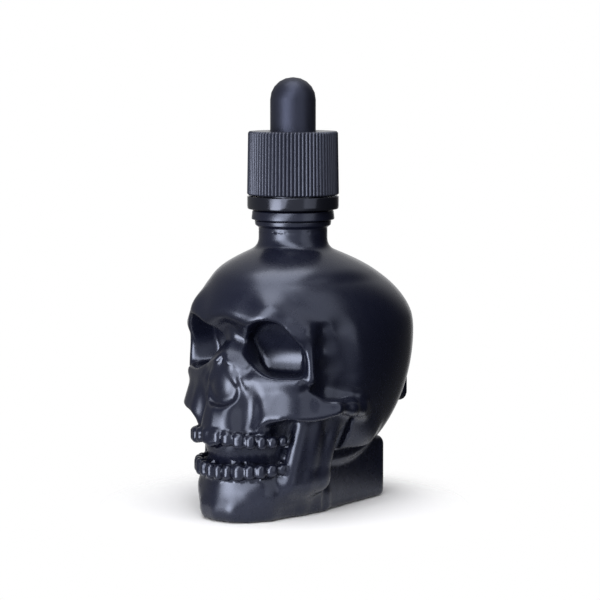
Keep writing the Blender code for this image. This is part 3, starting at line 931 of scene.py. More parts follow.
def rounded_profile(corners: list[Corner], closed: bool, steps: int = 5) -> list[tuple[float, float]]:
    """The points of a profile, with an arc at each corner that has a fillet.

    Args:
        corners: Corners of the profile in order.
        closed: Whether the last corner joins the first.
        steps: Straight lengths in each arc.

    Returns:
        Pairs of radius and height.
    """
    count = len(corners)
    points = []
    for index, corner in enumerate(corners):
        here = np.array((corner.radius, corner.height))
        if corner.fillet <= 0 or (not closed and index in (0, count - 1)):
            points.append(tuple(here))
            continue
        before = corners[index - 1]
        after = corners[(index + 1) % count]
        to_before = np.array((before.radius, before.height)) - here
        to_after = np.array((after.radius, after.height)) - here
        to_before = to_before / np.linalg.norm(to_before)
        to_after = to_after / np.linalg.norm(to_after)
        half_angle = math.acos(np.clip(to_before @ to_after, -1, 1)) / 2
        reach = corner.fillet / math.tan(half_angle)
        middle = (to_before + to_after) / np.linalg.norm(to_before + to_after)
        centre = here + middle * corner.fillet / math.sin(half_angle)
        first = here + to_before * reach - centre
        last = here + to_after * reach - centre
        start = math.atan2(first[1], first[0])
        sweep = (math.atan2(last[1], last[0]) - start + math.pi) % math.tau - math.pi
        for step in range(steps + 1):
            angle = start + sweep * step / steps
            arc = np.array((math.cos(angle), math.sin(angle)))
            points.append(tuple(centre + corner.fillet * arc))
    return points


def turned(corners: list[Corner], segments: int, closed: bool = True) -> bmesh.types.BMesh:
    """A profile spun once round the Z axis.

    Args:
        corners: Corners of the profile, in millimetres.
        segments: Faces in one turn.
        closed: Whether the last corner joins the first, as in a ring.

    Returns:
        The mesh, with its faces outward.
    """
    profile = rounded_profile(corners, closed)
    work = bmesh.new()
    points = [work.verts.new((radius, 0, height)) for radius, height in profile]
    pairs = list(zip(points, points[1:]))
    if closed:
        pairs.append((points[-1], points[0]))
    edges = [work.edges.new(pair) for pair in pairs]
    bmesh.ops.spin(
        work, geom=points + edges, cent=(0, 0, 0), axis=(0, 0, 1), angle=math.tau,
        steps=segments, use_merge=True, use_normal_flip=False, use_duplicate=False,
    )
    bmesh.ops.remove_doubles(work, verts=work.verts[:], dist=1e-5)
    bmesh.ops.recalc_face_normals(work, faces=work.faces[:])
    return work


@dataclass(frozen=True)
class Thread:
    """A screw thread: a ridge that climbs round the axis and fades out at both ends."""

    root: float
    crest: float
    start: float
    pitch: float
    turns: float
    root_width: float
    crest_width: float
    steps_per_turn: int = 72
    fade: float = 0.12

    def ridge(self) -> bmesh.types.BMesh:
        """The ridge as a closed mesh.

        Returns:
            The mesh, in millimetres.
        """
        work = bmesh.new()
        outline = (
            (self.root, -self.root_width / 2),
            (self.crest, -self.crest_width / 2),
            (self.crest, self.crest_width / 2),
            (self.root, self.root_width / 2),
        )
        points = [work.verts.new((radius, 0, self.start + height)) for radius, height in outline]
        edges = [work.edges.new(pair) for pair in zip(points, points[1:] + points[:1])]
        steps = round(self.steps_per_turn * self.turns)
        bmesh.ops.spin(
            work, geom=points + edges, cent=(0, 0, 0), axis=(0, 0, 1),
            dvec=(0, 0, self.pitch * self.turns / steps), angle=math.tau * self.turns,
            steps=steps, use_merge=False, use_normal_flip=False, use_duplicate=False,
        )
        fading = self.fade * self.steps_per_turn
        work.verts.ensure_lookup_table()
        for index, point in enumerate(work.verts):
            step = index // len(outline)
            share = min(1.0, min(step, steps - step) / fading)
            radius = math.hypot(point.co.x, point.co.y)
            fitted = (self.root + (radius - self.root) * share) / radius
            point.co.x *= fitted
            point.co.y *= fitted
        bmesh.ops.holes_fill(work, edges=[edge for edge in work.edges if edge.is_boundary])
        bmesh.ops.recalc_face_normals(work, faces=work.faces[:])
        return work


def poured_into(work: bmesh.types.BMesh, *others: bmesh.types.BMesh) -> bmesh.types.BMesh:
    """Adds other meshes to a mesh as shells of their own, and frees them.

    Args:
        work: Mesh that receives the shells.
        *others: Meshes to add.

    Returns:
        The first mesh.
    """
    for other in others:
        carrier = bpy.data.meshes.new("carrier")
        other.to_mesh(carrier)
        other.free()
        work.from_mesh(carrier)
        bpy.data.meshes.remove(carrier)
    return work


def stored(name: str, work: bmesh.types.BMesh, crease: float = 35.0) -> bpy.types.Object:
    """Puts a shaped piece into the scene, in metres.

    Args:
        name: Name of the piece.
        work: The mesh, in millimetres.
        crease: Angle in degrees above which an edge stays sharp.

    Returns:
        The object, at the origin.
    """
    mesh = bpy.data.meshes.new(name)
    work.to_mesh(mesh)
    work.free()
    mesh.transform(Matrix.Scale(MM, 4))
    mesh.shade_smooth()
    mesh.set_sharp_from_angle(angle=math.radians(crease))
    piece = bpy.data.objects.new(name, mesh)
    bpy.context.scene.collection.objects.link(piece)
    return piece


# Finishes


def linear(hex_colour: str) -> tuple[float, float, float, float]:
    """An sRGB colour such as #1A2B3C as linear red, green, blue and alpha.

    Args:
        hex_colour: The colour.

    Returns:
        Four shares from 0 to 1.
    """
    channels = [int(hex_colour[start:start + 2], 16) / 255 for start in (1, 3, 5)]
    return (*(c / 12.92 if c <= 0.04045 else ((c + 0.055) / 1.055) ** 2.4 for c in channels), 1.0)


def noise_scale(size: float) -> float:
    """The scale of a noise on Object coordinates whose grains are this many millimetres."""
    return 1 / (size * MM)


@dataclass(frozen=True)
class Finish:
    """A surface: its colour, its gloss, and the fine relief that the way it was made leaves on it."""

    name: str
    colour: str
    roughness: float
    roughness_spread: float
    patch: float
    ior: float
    relief_grain: float
    relief_height: float
    wave: float
    wave_height: float
    tint: str
    shade: str
    shade_patch: float = 8.0

    def material(self) -> bpy.types.Material:
        """The finish as a material on Object coordinates.

        Returns:
            The material.
        """
        made = bpy.data.materials.new(self.name)
        made.use_nodes = True
        tree = made.node_tree
        shader = tree.nodes["Principled BSDF"]
        shader.inputs["IOR"].default_value = self.ior
        shader.inputs["Specular Tint"].default_value = linear(self.tint)
        place = add_node(tree, "ShaderNodeTexCoord").outputs["Object"]
        layers = (("Base Color", self.paint), ("Roughness", self.polish), ("Normal", self.emboss))
        for name, layer in layers:
            tree.links.new(layer(tree, place), shader.inputs[name])
        return made

    def paint(self, tree: bpy.types.NodeTree, place: bpy.types.NodeSocket) -> bpy.types.NodeSocket:
        """Adds the colour, in soft patches of two close shades.

        Args:
            tree: Node tree of the material.
            place: Coordinates that the patches follow.

        Returns:
            The colour.
        """
        patches = add_node(tree, "ShaderNodeTexNoise", {
            "Vector": place, "Scale": noise_scale(self.shade_patch), "Detail": 2.0,
        })
        mixed = add_node(tree, "ShaderNodeMix", {
            "Factor": patches.outputs["Fac"], 6: linear(self.colour), 7: linear(self.shade),
        }, data_type="RGBA")
        return mixed.outputs[2]

    def polish(self, tree: bpy.types.NodeTree, place: bpy.types.NodeSocket) -> bpy.types.NodeSocket:
        """Adds a gloss that varies a little from place to place.

        Args:
            tree: Node tree of the material.
            place: Coordinates that the patches follow.

        Returns:
            The roughness.
        """
        patches = add_node(tree, "ShaderNodeTexNoise", {
            "Vector": place, "Scale": noise_scale(self.patch), "Detail": 3.0,
        })
        spread = add_node(tree, "ShaderNodeMapRange", {
            "Value": patches.outputs["Fac"],
            "From Min": 0.3,
            "From Max": 0.7,
            "To Min": self.roughness - self.roughness_spread,
            "To Max": self.roughness + self.roughness_spread,
        })
        return spread.outputs["Result"]

    def emboss(self, tree: bpy.types.NodeTree, place: bpy.types.NodeSocket) -> bpy.types.NodeSocket:
        """Adds a fine grain on top of a slow wave.

        Args:
            tree: Node tree of the material.
            place: Coordinates that the relief follows.

        Returns:
            The direction in which the embossed surface looks.
        """
        wave = add_node(tree, "ShaderNodeTexNoise", {
            "Vector": place, "Scale": noise_scale(self.wave), "Detail": 1.0,
        })
        waved = add_node(tree, "ShaderNodeBump", {
            "Height": wave.outputs["Fac"], "Distance": self.wave_height * MM, "Strength": 1.0,
        })
        grain = add_node(tree, "ShaderNodeTexNoise", {
            "Vector": place, "Scale": noise_scale(self.relief_grain), "Detail": 2.0,
        })
        grained = add_node(tree, "ShaderNodeBump", {
            "Height": grain.outputs["Fac"], "Distance": self.relief_height * MM, "Strength": 1.0,
            "Normal": waved.outputs["Normal"],
        })
        return grained.outputs["Normal"]


@dataclass(frozen=True)
class ClearGlass:
    """Drawn borosilicate tube: colourless, fire-polished, so it shows as bright lines along its edges."""

    name: str = "drawn_borosilicate_glass"
    colour: str = "#F4FAFA"
    roughness: float = 0.02
    ior: float = 1.47

    def material(self) -> bpy.types.Material:
        """The finish as a material.

        Returns:
            The material.
        """
        made = bpy.data.materials.new(self.name)
        made.use_nodes = True
        shader = made.node_tree.nodes["Principled BSDF"]
        shader.inputs["Base Color"].default_value = linear(self.colour)
        shader.inputs["Roughness"].default_value = self.roughness
        shader.inputs["IOR"].default_value = self.ior
        shader.inputs["Transmission Weight"].default_value = 1.0
        return made


# Soda-lime glass, pressed in an iron mould and coloured through with black: the satin skin spreads a
# window into a broad soft light, and the mould leaves a slow wave in it. Clearly bluish in the lights.
BLACK_GLASS = Finish(
    name="pressed_black_glass", colour="#0A0C18", shade="#0C0E1B",
    roughness=0.275, roughness_spread=0.02, patch=2.5, ior=1.55,
    relief_grain=0.25, relief_height=0.0015, wave=7.0, wave_height=0.02, tint="#DCE5FF",
)
# Polypropylene, injection moulded against a fine spark-eroded grain: satin, with bright edges on the ribs
SATIN_POLYPROPYLENE = Finish(
    name="moulded_satin_polypropylene", colour="#1A1C26", shade="#1D1F29",
    roughness=0.33, roughness_spread=0.03, patch=1.2, ior=1.49,
    relief_grain=0.18, relief_height=0.004, wave=3.0, wave_height=0.006, tint="#DCE4FF",
)
# The same plastic against polished steel: the band mirrors the lamps as crisp upright stripes
GLOSS_POLYPROPYLENE = Finish(
    name="moulded_gloss_polypropylene", colour="#0C0D12", shade="#0E0F15",
    roughness=0.17, roughness_spread=0.02, patch=1.5, ior=1.49,
    relief_grain=0.3, relief_height=0.0008, wave=4.0, wave_height=0.008, tint="#DCE4FF",
)
# Natural rubber, compression moulded in a blasted mould: matt, with a dusty bloom and one wide highlight
MATT_RUBBER = Finish(
    name="moulded_matt_rubber", colour="#0E0F16", shade="#12131B",
    roughness=0.46, roughness_spread=0.04, patch=1.0, ior=1.52,
    relief_grain=0.12, relief_height=0.006, wave=3.0, wave_height=0.01, tint="#B8C2EA",
)
CLEAR_GLASS = ClearGlass()


# The pieces


def finished(piece: bpy.types.Object, body: Body, node: str, finish: Finish | ClearGlass) -> None:
    """Gives a piece its material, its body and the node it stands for.

    Args:
        piece: The piece.
        body: CAD body that it moves with.
        node: CAD node that it replaces.
        finish: What its surface is.
    """
    piece.data.materials.append(finish.material())
    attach(piece, body.value)
    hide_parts(node)


@dataclass(frozen=True)
class SkullBottle:
    """The glass: a moulded head, the turned neck with its rings and thread, and the hollow inside."""

    form: SkullForm = SkullForm()
    wall: float = 2.6
    floor: float = 5.0
    base_rounding: float = 0.9
    neck_radius: float = 8.25
    bore_radius: float = 5.75
    neck_joint: float = 66.7
    bore_joint: float = 61.5
    lower_ring_z: float = 67.7
    lower_ring_radius: float = 9.2
    lower_ring_height: float = 1.5
    upper_ring_radius: float = 9.98
    upper_ring_height: float = 2.2
    bead_radius: float = 9.6
    bead_height: float = 1.2
    rim: float = high("skull_bottle")
    segments: int = 144
    grain: float = 0.51
    hollow_grain: float = 1.35
    quick_grain: float = 0.8
    # opposite corners of a box round the head and of one round the hollow
    head_box: tuple[Place, Place] = ((-26, -32, -1), (26, 36, 70))
    hollow_box: tuple[Place, Place] = ((-22, -26, 3), (22, 32, 66))
    rooms: Form = Shaped(Ball((0, 4.2, 41.3), (21.4, 27.8, 19.2), depth_below=31.0), (
        Step(Way.ADD, Ball((0, -4.0, 16.0), (11.5, 18.5, 16.0)), 4),
        Step(Way.ADD, Block((0, 8.6, 12.0), (9.2, 12.0, 9.0), 4.0), 3),
    ))
    # the start of the bore, which the rooms run up into
    bore_middle: float = 55.0
    bore_half: float = 10.0
    # an edge is on the rim of a joint if it lies this near to the joint's height
    joint_reach: float = 0.6
    # how far the turned neck starts from each joint, which leaves a band of faces to bridge
    neck_joint_gap: float = 0.25
    bore_joint_gap: float = 0.5
    ring_gap: float = 0.3
    # how deep the groove between the two rings is, and how far the bead lies above the band's foot
    ring_groove: float = 0.45
    bead_above_band: float = 1.3

    def outer(self, points: Points) -> Distances:
        """The distance to the head, standing on the ground with a rounded edge."""
        ground = Side((0, 0, GROUND), (0, 0, -1))
        return meet(self.form.distance(points), ground.distance(points), self.base_rounding)

    def inner(self, points: Points) -> Distances:
        """The distance to the hollow, which keeps a full wall behind every outer form.

        Args:
            points: Where the distance is wanted.

        Returns:
            One distance for each point.
        """
        above_floor = Side((0, 0, self.floor), (0, 0, -1))
        rooms = shaped(self.rooms.distance(points), points, (Step(Way.KEEP, above_floor, 2),))
        rooms = meet(rooms, self.form.distance(points, stem_above=1.0) + self.wall, 1.5)
        around = np.hypot(points[:, 0], points[:, 1])
        height = np.abs(points[:, 2] - self.bore_middle)
        bore = np.maximum(around - self.bore_radius, height - self.bore_half)
        return join(rooms, bore, 3)

    def head(self) -> bmesh.types.BMesh:
        """The moulded head, open where the neck joins it.

        Returns:
            The mesh, in millimetres.
        """
        grain = self.grain
        shape = moulded(self.outer, *self.head_box, grain)
        return self.opened(shape, self.neck_joint)

    def hollow(self) -> bmesh.types.BMesh:
        """The hollow, its faces turned inward, open where the bore joins it.

        Returns:
            The mesh, in millimetres.
        """
        shape = moulded(self.inner, *self.hollow_box, self.hollow_grain)
        work = self.opened(shape, self.bore_joint)
        bmesh.ops.reverse_faces(work, faces=work.faces[:])
        return work

    def opened(self, mesh: bpy.types.Mesh, height: float) -> bmesh.types.BMesh:
        """A closed mesh cut open at a height.

        Args:
            mesh: The closed mesh.
            height: Height of the cut.

        Returns:
            What is below the cut.
        """
        work = bmesh.new()
        work.from_mesh(mesh)
        bmesh.ops.bisect_plane(
            work, geom=work.verts[:] + work.edges[:] + work.faces[:], dist=1e-4,
            plane_co=(0, 0, height), plane_no=(0, 0, 1), clear_outer=True,
        )
        return work

    def neck(self) -> bmesh.types.BMesh:
        """The neck from the head up to the rim and down the bore, open at both ends.

        Returns:
            The mesh, in millimetres.
        """
        neck = self.neck_radius
        ring_z = self.lower_ring_z
        groove_z = ring_z + self.lower_ring_height
        groove_radius = self.lower_ring_radius - self.ring_groove
        upper_z = groove_z + self.ring_gap
        upper_top = upper_z + self.upper_ring_height
        bead_z = low("tamper_band") + self.bead_above_band
        bead_top = bead_z + self.bead_height
        return turned([
            Corner(neck, self.neck_joint + self.neck_joint_gap),
            Corner(neck, ring_z - 0.1, 0.3),
            Corner(self.lower_ring_radius - 0.15, ring_z + 0.5, 0.3),
            Corner(self.lower_ring_radius, groove_z, 0.2),
            Corner(groove_radius, groove_z + 0.12, 0.1),
            Corner(groove_radius, upper_z, 0.1),
            Corner(self.upper_ring_radius, upper_z, 0.25),
            Corner(self.upper_ring_radius - 0.25, upper_top, 0.4),
            Corner(neck, upper_top, 0.2),
            Corner(neck, bead_z, 0.2),
            Corner(self.bead_radius, bead_z, 0.25),
            Corner(self.bead_radius - 0.35, bead_top, 0.35),
            Corner(neck, bead_top + 0.2, 0.3),
            Corner(neck, self.rim, 0.8),
            Corner(self.bore_radius, self.rim, 0.8),
            Corner(self.bore_radius, self.bore_joint + self.bore_joint_gap),
        ], self.segments, closed=False)

    def build(self) -> bpy.types.Object:
        """Joins head, neck and hollow into one skin, and adds the thread to the neck.

        Returns:
            The finished piece.
        """
        work = poured_into(self.head(), self.neck(), self.hollow())
        for joint in (self.neck_joint, self.bore_joint):
            near = {point for point in work.verts if abs(point.co.z - joint) < self.joint_reach}
            rims = [edge for edge in work.edges if edge.is_boundary and near.issuperset(edge.verts)]
            bmesh.ops.bridge_loops(work, edges=rims)
        bmesh.ops.triangulate(work, faces=[face for face in work.faces if len(face.verts) > 4])
        thread = Thread(
            root=self.neck_radius - THREAD_SINK, crest=8.95, start=self.rim - 5.0,
            pitch=THREAD_PITCH, turns=1.5, root_width=1.7, crest_width=0.7,
        )
        poured_into(work, thread.ridge())
        piece = stored("skull_glass", work, crease=50.0)
        finished(piece, Body.BOTTLE, "skull_bottle", BLACK_GLASS)
        return piece


@dataclass(frozen=True)
class TamperBand:
    """The band that stays on the neck, with the stubs of the bridges that held it to the cap."""

    radius: float = high("tamper_band", Axis.X)
    inside: float = 9.9
    lip: float = 8.55
    bottom: float = low("tamper_band")
    top: float = high("tamper_band")
    lip_height: float = 1.0
    bridges: int = 12
    bridge_half: Place = (0.35, 0.28, 0.14)
    bridge_inset: float = 0.6
    # the foot of the band draws in a little over this height
    foot_height: float = 0.7
    foot_draft: float = 0.1
    segments: int = 144

    def build(self) -> bpy.types.Object:
        """Turns the ring and stands the stubs on its upper edge.

        Returns:
            The finished piece.
        """
        work = turned([
            Corner(self.radius - self.foot_draft, self.bottom, 0.3),
            Corner(self.radius, self.bottom + self.foot_height, 0.3),
            Corner(self.radius, self.top, 0.2),
            Corner(self.inside, self.top, 0.1),
            Corner(self.inside, self.bottom + self.lip_height, 0.1),
            Corner(self.lip, self.bottom + self.lip_height, 0.1),
            Corner(self.inside, self.bottom, 0.2),
        ], self.segments)
        for number in range(self.bridges):
            stub = bmesh.ops.create_cube(work, size=2)["verts"]
            bmesh.ops.scale(work, verts=stub, vec=self.bridge_half)
            bmesh.ops.translate(work, verts=stub, vec=(self.radius - self.bridge_inset, 0, self.top))
            turn = Matrix.Rotation(math.tau * number / self.bridges, 3, "Z")
            bmesh.ops.rotate(work, verts=stub, cent=(0, 0, 0), matrix=turn)
        piece = stored("tamper_ring", work)
        finished(piece, Body.SEAL, "tamper_band", GLOSS_POLYPROPYLENE)
        return piece


@dataclass(frozen=True)
class DropperCap:
    """The ribbed cap, open at the top for the bulb, with the thread that runs on the neck."""

    radius: float = high("dropper_cap", Axis.X)
    bottom: float = low("dropper_cap")
    top: float = high("dropper_cap")
    draft: float = 0.25
    inside: float = 9.6
    hole: float = 5.75
    plate: float = 1.4
    ribs: int = 72
    rib_depth: float = 0.42
    steps_per_rib: int = 8
    # below 1 the ridges are wider than the valleys
    rib_roundness: float = 0.8
    # how deep the skin is that the ribs are cut into
    rib_skin: float = 1.0
    edge: float = 0.35
    # the wall is thicker where the thread runs, above a wider mouth
    thread_wall: float = 0.35
    mouth_height: float = 1.2
    thread_wall_height: float = 2.0

    def ribbed(self, work: bmesh.types.BMesh) -> None:
        """Draws the outer wall inward between the ribs, which leaves rounded ridges.

        Args:
            work: The turned cap.
        """
        least = self.radius - self.draft - self.rib_skin
        for point in work.verts:
            around = math.hypot(point.co.x, point.co.y)
            if around < least:
                continue
            turn = math.atan2(point.co.y, point.co.x)
            valley = 1 - abs(math.cos(turn * self.ribs / 2)) ** self.rib_roundness
            share = (around - self.rib_depth * valley) / around
            point.co.x *= share
            point.co.y *= share

    def build(self) -> bpy.types.Object:
        """Turns the cap, cuts its ribs and adds its thread.

        Returns:
            The finished piece.
        """
        upper = self.radius - self.draft
        ceiling = self.top - self.plate
        narrow = self.inside - self.thread_wall
        work = turned([
            Corner(self.inside, self.bottom, 0.2),
            Corner(self.radius - 0.2, self.bottom, 0.15),
            Corner(self.radius, self.bottom + 0.3, 0.2),
            Corner(upper, self.top - self.edge, 0.2),
            Corner(upper - self.edge, self.top, 0.2),
            Corner(self.hole, self.top, self.edge),
            Corner(self.hole, ceiling, 0.2),
            Corner(narrow, ceiling, 0.4),
            Corner(narrow, self.bottom + self.thread_wall_height, 0.4),
            Corner(self.inside, self.bottom + self.mouth_height, 0.4),
        ], self.ribs * self.steps_per_rib)
        self.ribbed(work)
        thread = Thread(
            root=self.inside - THREAD_SINK, crest=9.02, start=self.bottom + 5.2,
            pitch=THREAD_PITCH, turns=1.3, root_width=1.4, crest_width=0.6,
        )
        poured_into(work, thread.ridge())
        piece = stored("ribbed_cap", work, crease=40.0)
        finished(piece, Body.CAP, "dropper_cap", SATIN_POLYPROPYLENE)
        return piece


@dataclass(frozen=True)
class RubberBulb:
    """The bulb with its flange on the rim of the glass and the collar that grips the pipette."""

    radius: float = 5.45
    wall: float = 1.3
    top: float = high("rubber_bulb")
    flange_radius: float = 8.0
    # the plate of the cap lies above the flange, with the clearance between them
    flange_top: float = high("dropper_cap") - 1.7
    flange_thickness: float = 1.5
    collar_radius: float = 5.3
    collar_length: float = 3.0
    grip_radius: float = 3.8
    ledge: float = high("glass_pipette") + CLEARANCE
    ledge_slope: float = 0.5
    # share of the radius that the rounding of the dome takes, outside and inside
    dome: float = 0.97
    inner_dome: float = 0.95
    segments: int = 128

    def build(self) -> bpy.types.Object:
        """Turns the bulb in one piece.

        Returns:
            The finished piece.
        """
        inside = self.radius - self.wall
        flange_z = self.flange_top - self.flange_thickness
        collar_z = flange_z - self.collar_length
        work = turned([
            Corner(0, self.top),
            Corner(self.radius, self.top, self.radius * self.dome),
            Corner(self.radius, self.flange_top, 0.3),
            Corner(self.flange_radius, self.flange_top, 0.3),
            Corner(self.flange_radius, flange_z, 0.3),
            Corner(self.collar_radius, flange_z, 0.3),
            Corner(self.collar_radius, collar_z, 0.4),
            Corner(self.grip_radius, collar_z, 0.2),
            Corner(self.grip_radius, self.ledge, 0.1),
            Corner(inside, self.ledge + self.ledge_slope, 0.3),
            Corner(inside, self.top - self.wall, inside * self.inner_dome),
            Corner(0, self.top - self.wall),
        ], self.segments, closed=False)
        piece = stored("dropper_bulb", work)
        finished(piece, Body.DROPPER, "rubber_bulb", MATT_RUBBER)
        return piece


@dataclass(frozen=True)
class GlassPipette:
    """The tube that hangs from the bulb and draws in to a fine tip."""

    radius: float = high("glass_pipette", Axis.X)
    bore: float = 2.3
    top: float = high("glass_pipette")
    tip: float = low("glass_pipette")
    taper: float = 12.0
    tip_radius: float = 1.6
    tip_bore: float = 0.7
    tip_length: float = 2.5
    tip_bore_length: float = 3.0
    bore_taper_rise: float = 1.0
    shoulder_fillet: float = 7.0
    tip_fillet: float = 4.0
    segments: int = 64

    def build(self) -> bpy.types.Object:
        """Turns the tube with its drawn tip.

        Returns:
            The finished piece.
        """
        shoulder = self.tip + self.taper
        work = turned([
            Corner(self.radius, self.top, 0.5),
            Corner(self.bore, self.top, 0.5),
            Corner(self.bore, shoulder + self.bore_taper_rise, self.shoulder_fillet),
            Corner(self.tip_bore, self.tip + self.tip_bore_length, self.tip_fillet),
            Corner(self.tip_bore, self.tip, 0.2),
            Corner(self.tip_radius, self.tip, 0.4),
            Corner(self.tip_radius, self.tip + self.tip_length, self.tip_fillet),
            Corner(self.radius, shoulder, self.shoulder_fillet),
        ], self.segments)
        piece = stored("pipette_tube", work)
        finished(piece, Body.DROPPER, "glass_pipette", CLEAR_GLASS)
        return piece


# The studio


def heading(azimuth: float, elevation: float) -> Vector:
    """A direction as seen from the bottle.

    Args:
        azimuth: Its turn in degrees from the camera toward the right.
        elevation: Its height in degrees above the horizon.

    Returns:
        A vector of length one.
    """
    turn, rise = math.radians(azimuth), math.radians(elevation)
    view = math.radians(CAMERA_AZIMUTH)
    front = Vector((math.sin(view), -math.cos(view), 0))
    right = Vector((math.cos(view), math.sin(view), 0))
    return (front * math.cos(turn) + right * math.sin(turn)) * math.cos(rise) + Vector((0, 0, math.sin(rise)))


@dataclass(frozen=True)
class SoftBox:
    """A square studio lamp that faces the middle of the bottle."""

    name: str
    azimuth: float
    elevation: float
    distance: float
    width: float
    height: float
    radiance: float
    roll: float = 0.0

    def build(self, target: Vector) -> None:
        """Hangs the lamp.

        Args:
            target: The place that it faces.
        """
        data = bpy.data.lights.new(self.name, "AREA")
        data.shape = "RECTANGLE"
        data.size = self.width
        data.size_y = self.height
        data.energy = self.radiance * self.width * self.height * math.pi
        lamp = bpy.data.objects.new(self.name, data)
        bpy.context.scene.collection.objects.link(lamp)
        away = heading(self.azimuth, self.elevation)
        lamp.location = target + away * self.distance
        facing_target = (-away).to_track_quat("-Z", "Y").to_matrix().to_4x4()
        turn = facing_target @ Matrix.Rotation(math.radians(self.roll), 4, "Z")
        lamp.rotation_euler = turn.to_euler()


@dataclass(frozen=True)
class Card:
    """A round patch of the room that reflections see, with a soft rim. Its angles are in degrees."""

    azimuth: float
    elevation: float
    outer_angle: float
    inner_angle: float
    level: float


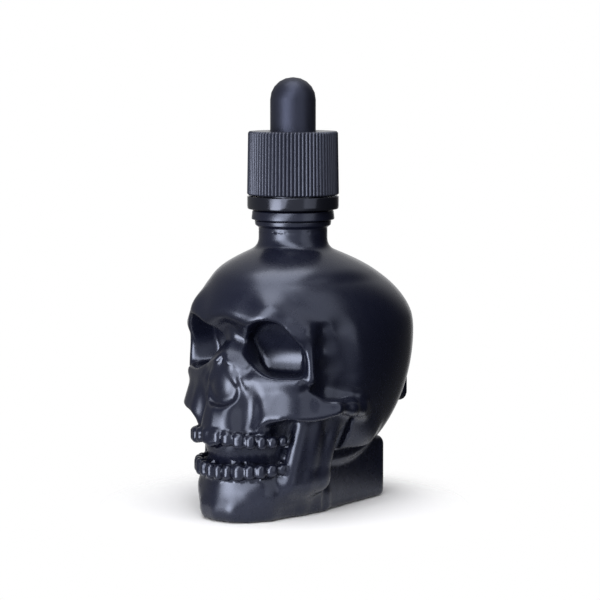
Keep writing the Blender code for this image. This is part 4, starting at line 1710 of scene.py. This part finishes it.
@dataclass(frozen=True)
class Studio:
    """The floor, the lamps, the white room and the camera."""

    target: Vector = field(default_factory=lambda: Vector((0, 0, 0.045)))
    floor_radius: float = 0.058
    floor_centre: Vector = field(default_factory=lambda: Vector((0.0, -0.003, 0)))
    floor_colour: str = "#DEDEE0"
    # shares of the floor's radius between which it thins out
    fade_start: float = 0.45
    fade_end: float = 0.98
    camera_distance: float = 0.520
    camera_height: float = 0.108
    camera_pitch: float = 6.37
    focal_pixels: float = 2174.0
    frame_pixels: float = 600.0
    axis_pixel: float = 293.0
    sensor: float = 36.0
    lamps: tuple[SoftBox, ...] = (
        SoftBox("key_box", -27, 18, 0.62, 0.36, 1.45, 5.9, roll=-30),
        SoftBox("low_box", -45, -8, 0.60, 0.32, 0.34, 7.0),
        SoftBox("side_box", 48, 22, 0.62, 0.36, 0.85, 1.35, roll=-15),
        SoftBox("top_box", 0, 84, 0.62, 0.46, 0.46, 4.7),
    )
    # what reflections see of the room, apart from the lamps: the white backdrop behind the
    # bottle, pale walls in front and to the left, and black cloth to the right
    room_level: float = 0.075
    cards: tuple[Card, ...] = (
        Card(180, 55, 65, 25, 0.65),
        Card(-105, 0, 75, 30, 0.27),
        Card(8, -8, 45, 12, 0.75),
        Card(103, 10, 48, 18, 0.02),
        Card(180, -3, 27, 12, 1.0),
    )
    diffuse_level: float = 0.2

    def camera(self) -> None:
        """Sets the camera at the photograph's place."""
        data = bpy.data.cameras.new("camera")
        data.sensor_width = self.sensor
        data.lens = self.focal_pixels / self.frame_pixels * self.sensor
        data.shift_x = (self.frame_pixels / 2 - self.axis_pixel) / self.frame_pixels
        data.clip_start = 0.01
        data.clip_end = 20.0
        camera = bpy.data.objects.new("camera", data)
        bpy.context.scene.collection.objects.link(camera)
        away = heading(0, 0)
        camera.location = away * self.camera_distance + Vector((0, 0, self.camera_height))
        camera.rotation_euler = (-heading(0, self.camera_pitch)).to_track_quat("-Z", "Y").to_euler()
        bpy.context.scene.camera = camera

    def floor(self) -> None:
        """Lays a round pale floor that fades into the white room."""
        work = bmesh.new()
        bmesh.ops.create_circle(work, cap_ends=True, segments=96, radius=self.floor_radius)
        bmesh.ops.translate(work, verts=work.verts[:], vec=self.floor_centre)
        mesh = bpy.data.meshes.new("floor")
        work.to_mesh(mesh)
        work.free()
        floor = bpy.data.objects.new("floor", mesh)
        bpy.context.scene.collection.objects.link(floor)
        mesh.materials.append(self.floor_material())

    def floor_material(self) -> bpy.types.Material:
        """Matt white paper, thinned to nothing toward its rim.

        Returns:
            The material.
        """
        made = bpy.data.materials.new("matt_white_paper")
        made.use_nodes = True
        tree = made.node_tree
        shader = tree.nodes["Principled BSDF"]
        shader.inputs["Base Color"].default_value = linear(self.floor_colour)
        shader.inputs["Roughness"].default_value = 0.9
        shader.inputs["Specular IOR Level"].default_value = 0.0
        place = add_node(tree, "ShaderNodeTexCoord").outputs["Object"]
        offset = add_node(
            tree, "ShaderNodeVectorMath", {0: place, 1: self.floor_centre}, operation="DISTANCE"
        )
        share = add_node(tree, "ShaderNodeMapRange", {
            "Value": offset.outputs["Value"],
            "From Min": self.floor_radius * self.fade_start,
            "From Max": self.floor_radius * self.fade_end,
        }, interpolation_type="SMOOTHERSTEP")
        clear = add_node(tree, "ShaderNodeBsdfTransparent")
        mixed = add_node(tree, "ShaderNodeMixShader", {
            0: share.outputs["Result"], 1: shader.outputs["BSDF"], 2: clear.outputs["BSDF"],
        })
        tree.links.new(mixed.outputs["Shader"], tree.nodes["Material Output"].inputs["Surface"])
        return made

    def room(self) -> None:
        """A white room to the eye, of which reflections see the backdrop and the cards."""
        world = bpy.data.worlds.new("room")
        bpy.context.scene.world = world
        world.use_nodes = True
        tree = world.node_tree
        direction = add_node(tree, "ShaderNodeTexCoord").outputs["Generated"]
        seen = self.room_level
        for card in self.cards:
            along = add_node(
                tree, "ShaderNodeVectorMath",
                {0: direction, 1: heading(card.azimuth, card.elevation)}, operation="DOT_PRODUCT",
            )
            mask = add_node(tree, "ShaderNodeMapRange", {
                "Value": along.outputs["Value"],
                "From Min": math.cos(math.radians(card.outer_angle)),
                "From Max": math.cos(math.radians(card.inner_angle)),
            }, interpolation_type="SMOOTHSTEP")
            mixed = add_node(tree, "ShaderNodeMix", {
                "Factor": mask.outputs["Result"], 2: seen, 3: card.level,
            })
            seen = mixed.outputs[0]
        rays = add_node(tree, "ShaderNodeLightPath").outputs
        plain = add_node(
            tree, "ShaderNodeMath", {0: rays["Is Camera Ray"], 1: rays["Is Transmission Ray"]},
            operation="MAXIMUM",
        )
        reflected = add_node(tree, "ShaderNodeMix", {
            "Factor": rays["Is Glossy Ray"], 2: self.diffuse_level, 3: seen,
        })
        strength = add_node(tree, "ShaderNodeMix", {
            "Factor": plain.outputs[0], 2: reflected.outputs[0], 3: 1.0,
        })
        tree.links.new(strength.outputs[0], tree.nodes["Background"].inputs["Strength"])
        tree.nodes["Background"].inputs["Color"].default_value = (1, 1, 1, 1)

    def build(self) -> None:
        """Sets up floor, lamps, room and camera."""
        self.floor()
        self.room()
        self.camera()
        for lamp in self.lamps:
            lamp.build(self.target)
        bpy.context.scene.view_settings.view_transform = "Standard"


def main() -> None:
    """Builds the pieces in order and reports each, then the studio."""
    logging.basicConfig(level=logging.INFO, format="%(message)s")
    for assembly in (SkullBottle(), TamperBand(), DropperCap(), RubberBulb(), GlassPipette()):
        piece = assembly.build()
        triangles = sum(len(face.vertices) - 2 for face in piece.data.polygons)
        log.info("%s: %d triangles", piece.name, triangles)
    Studio().build()


if __name__ == "__main__":
    main()
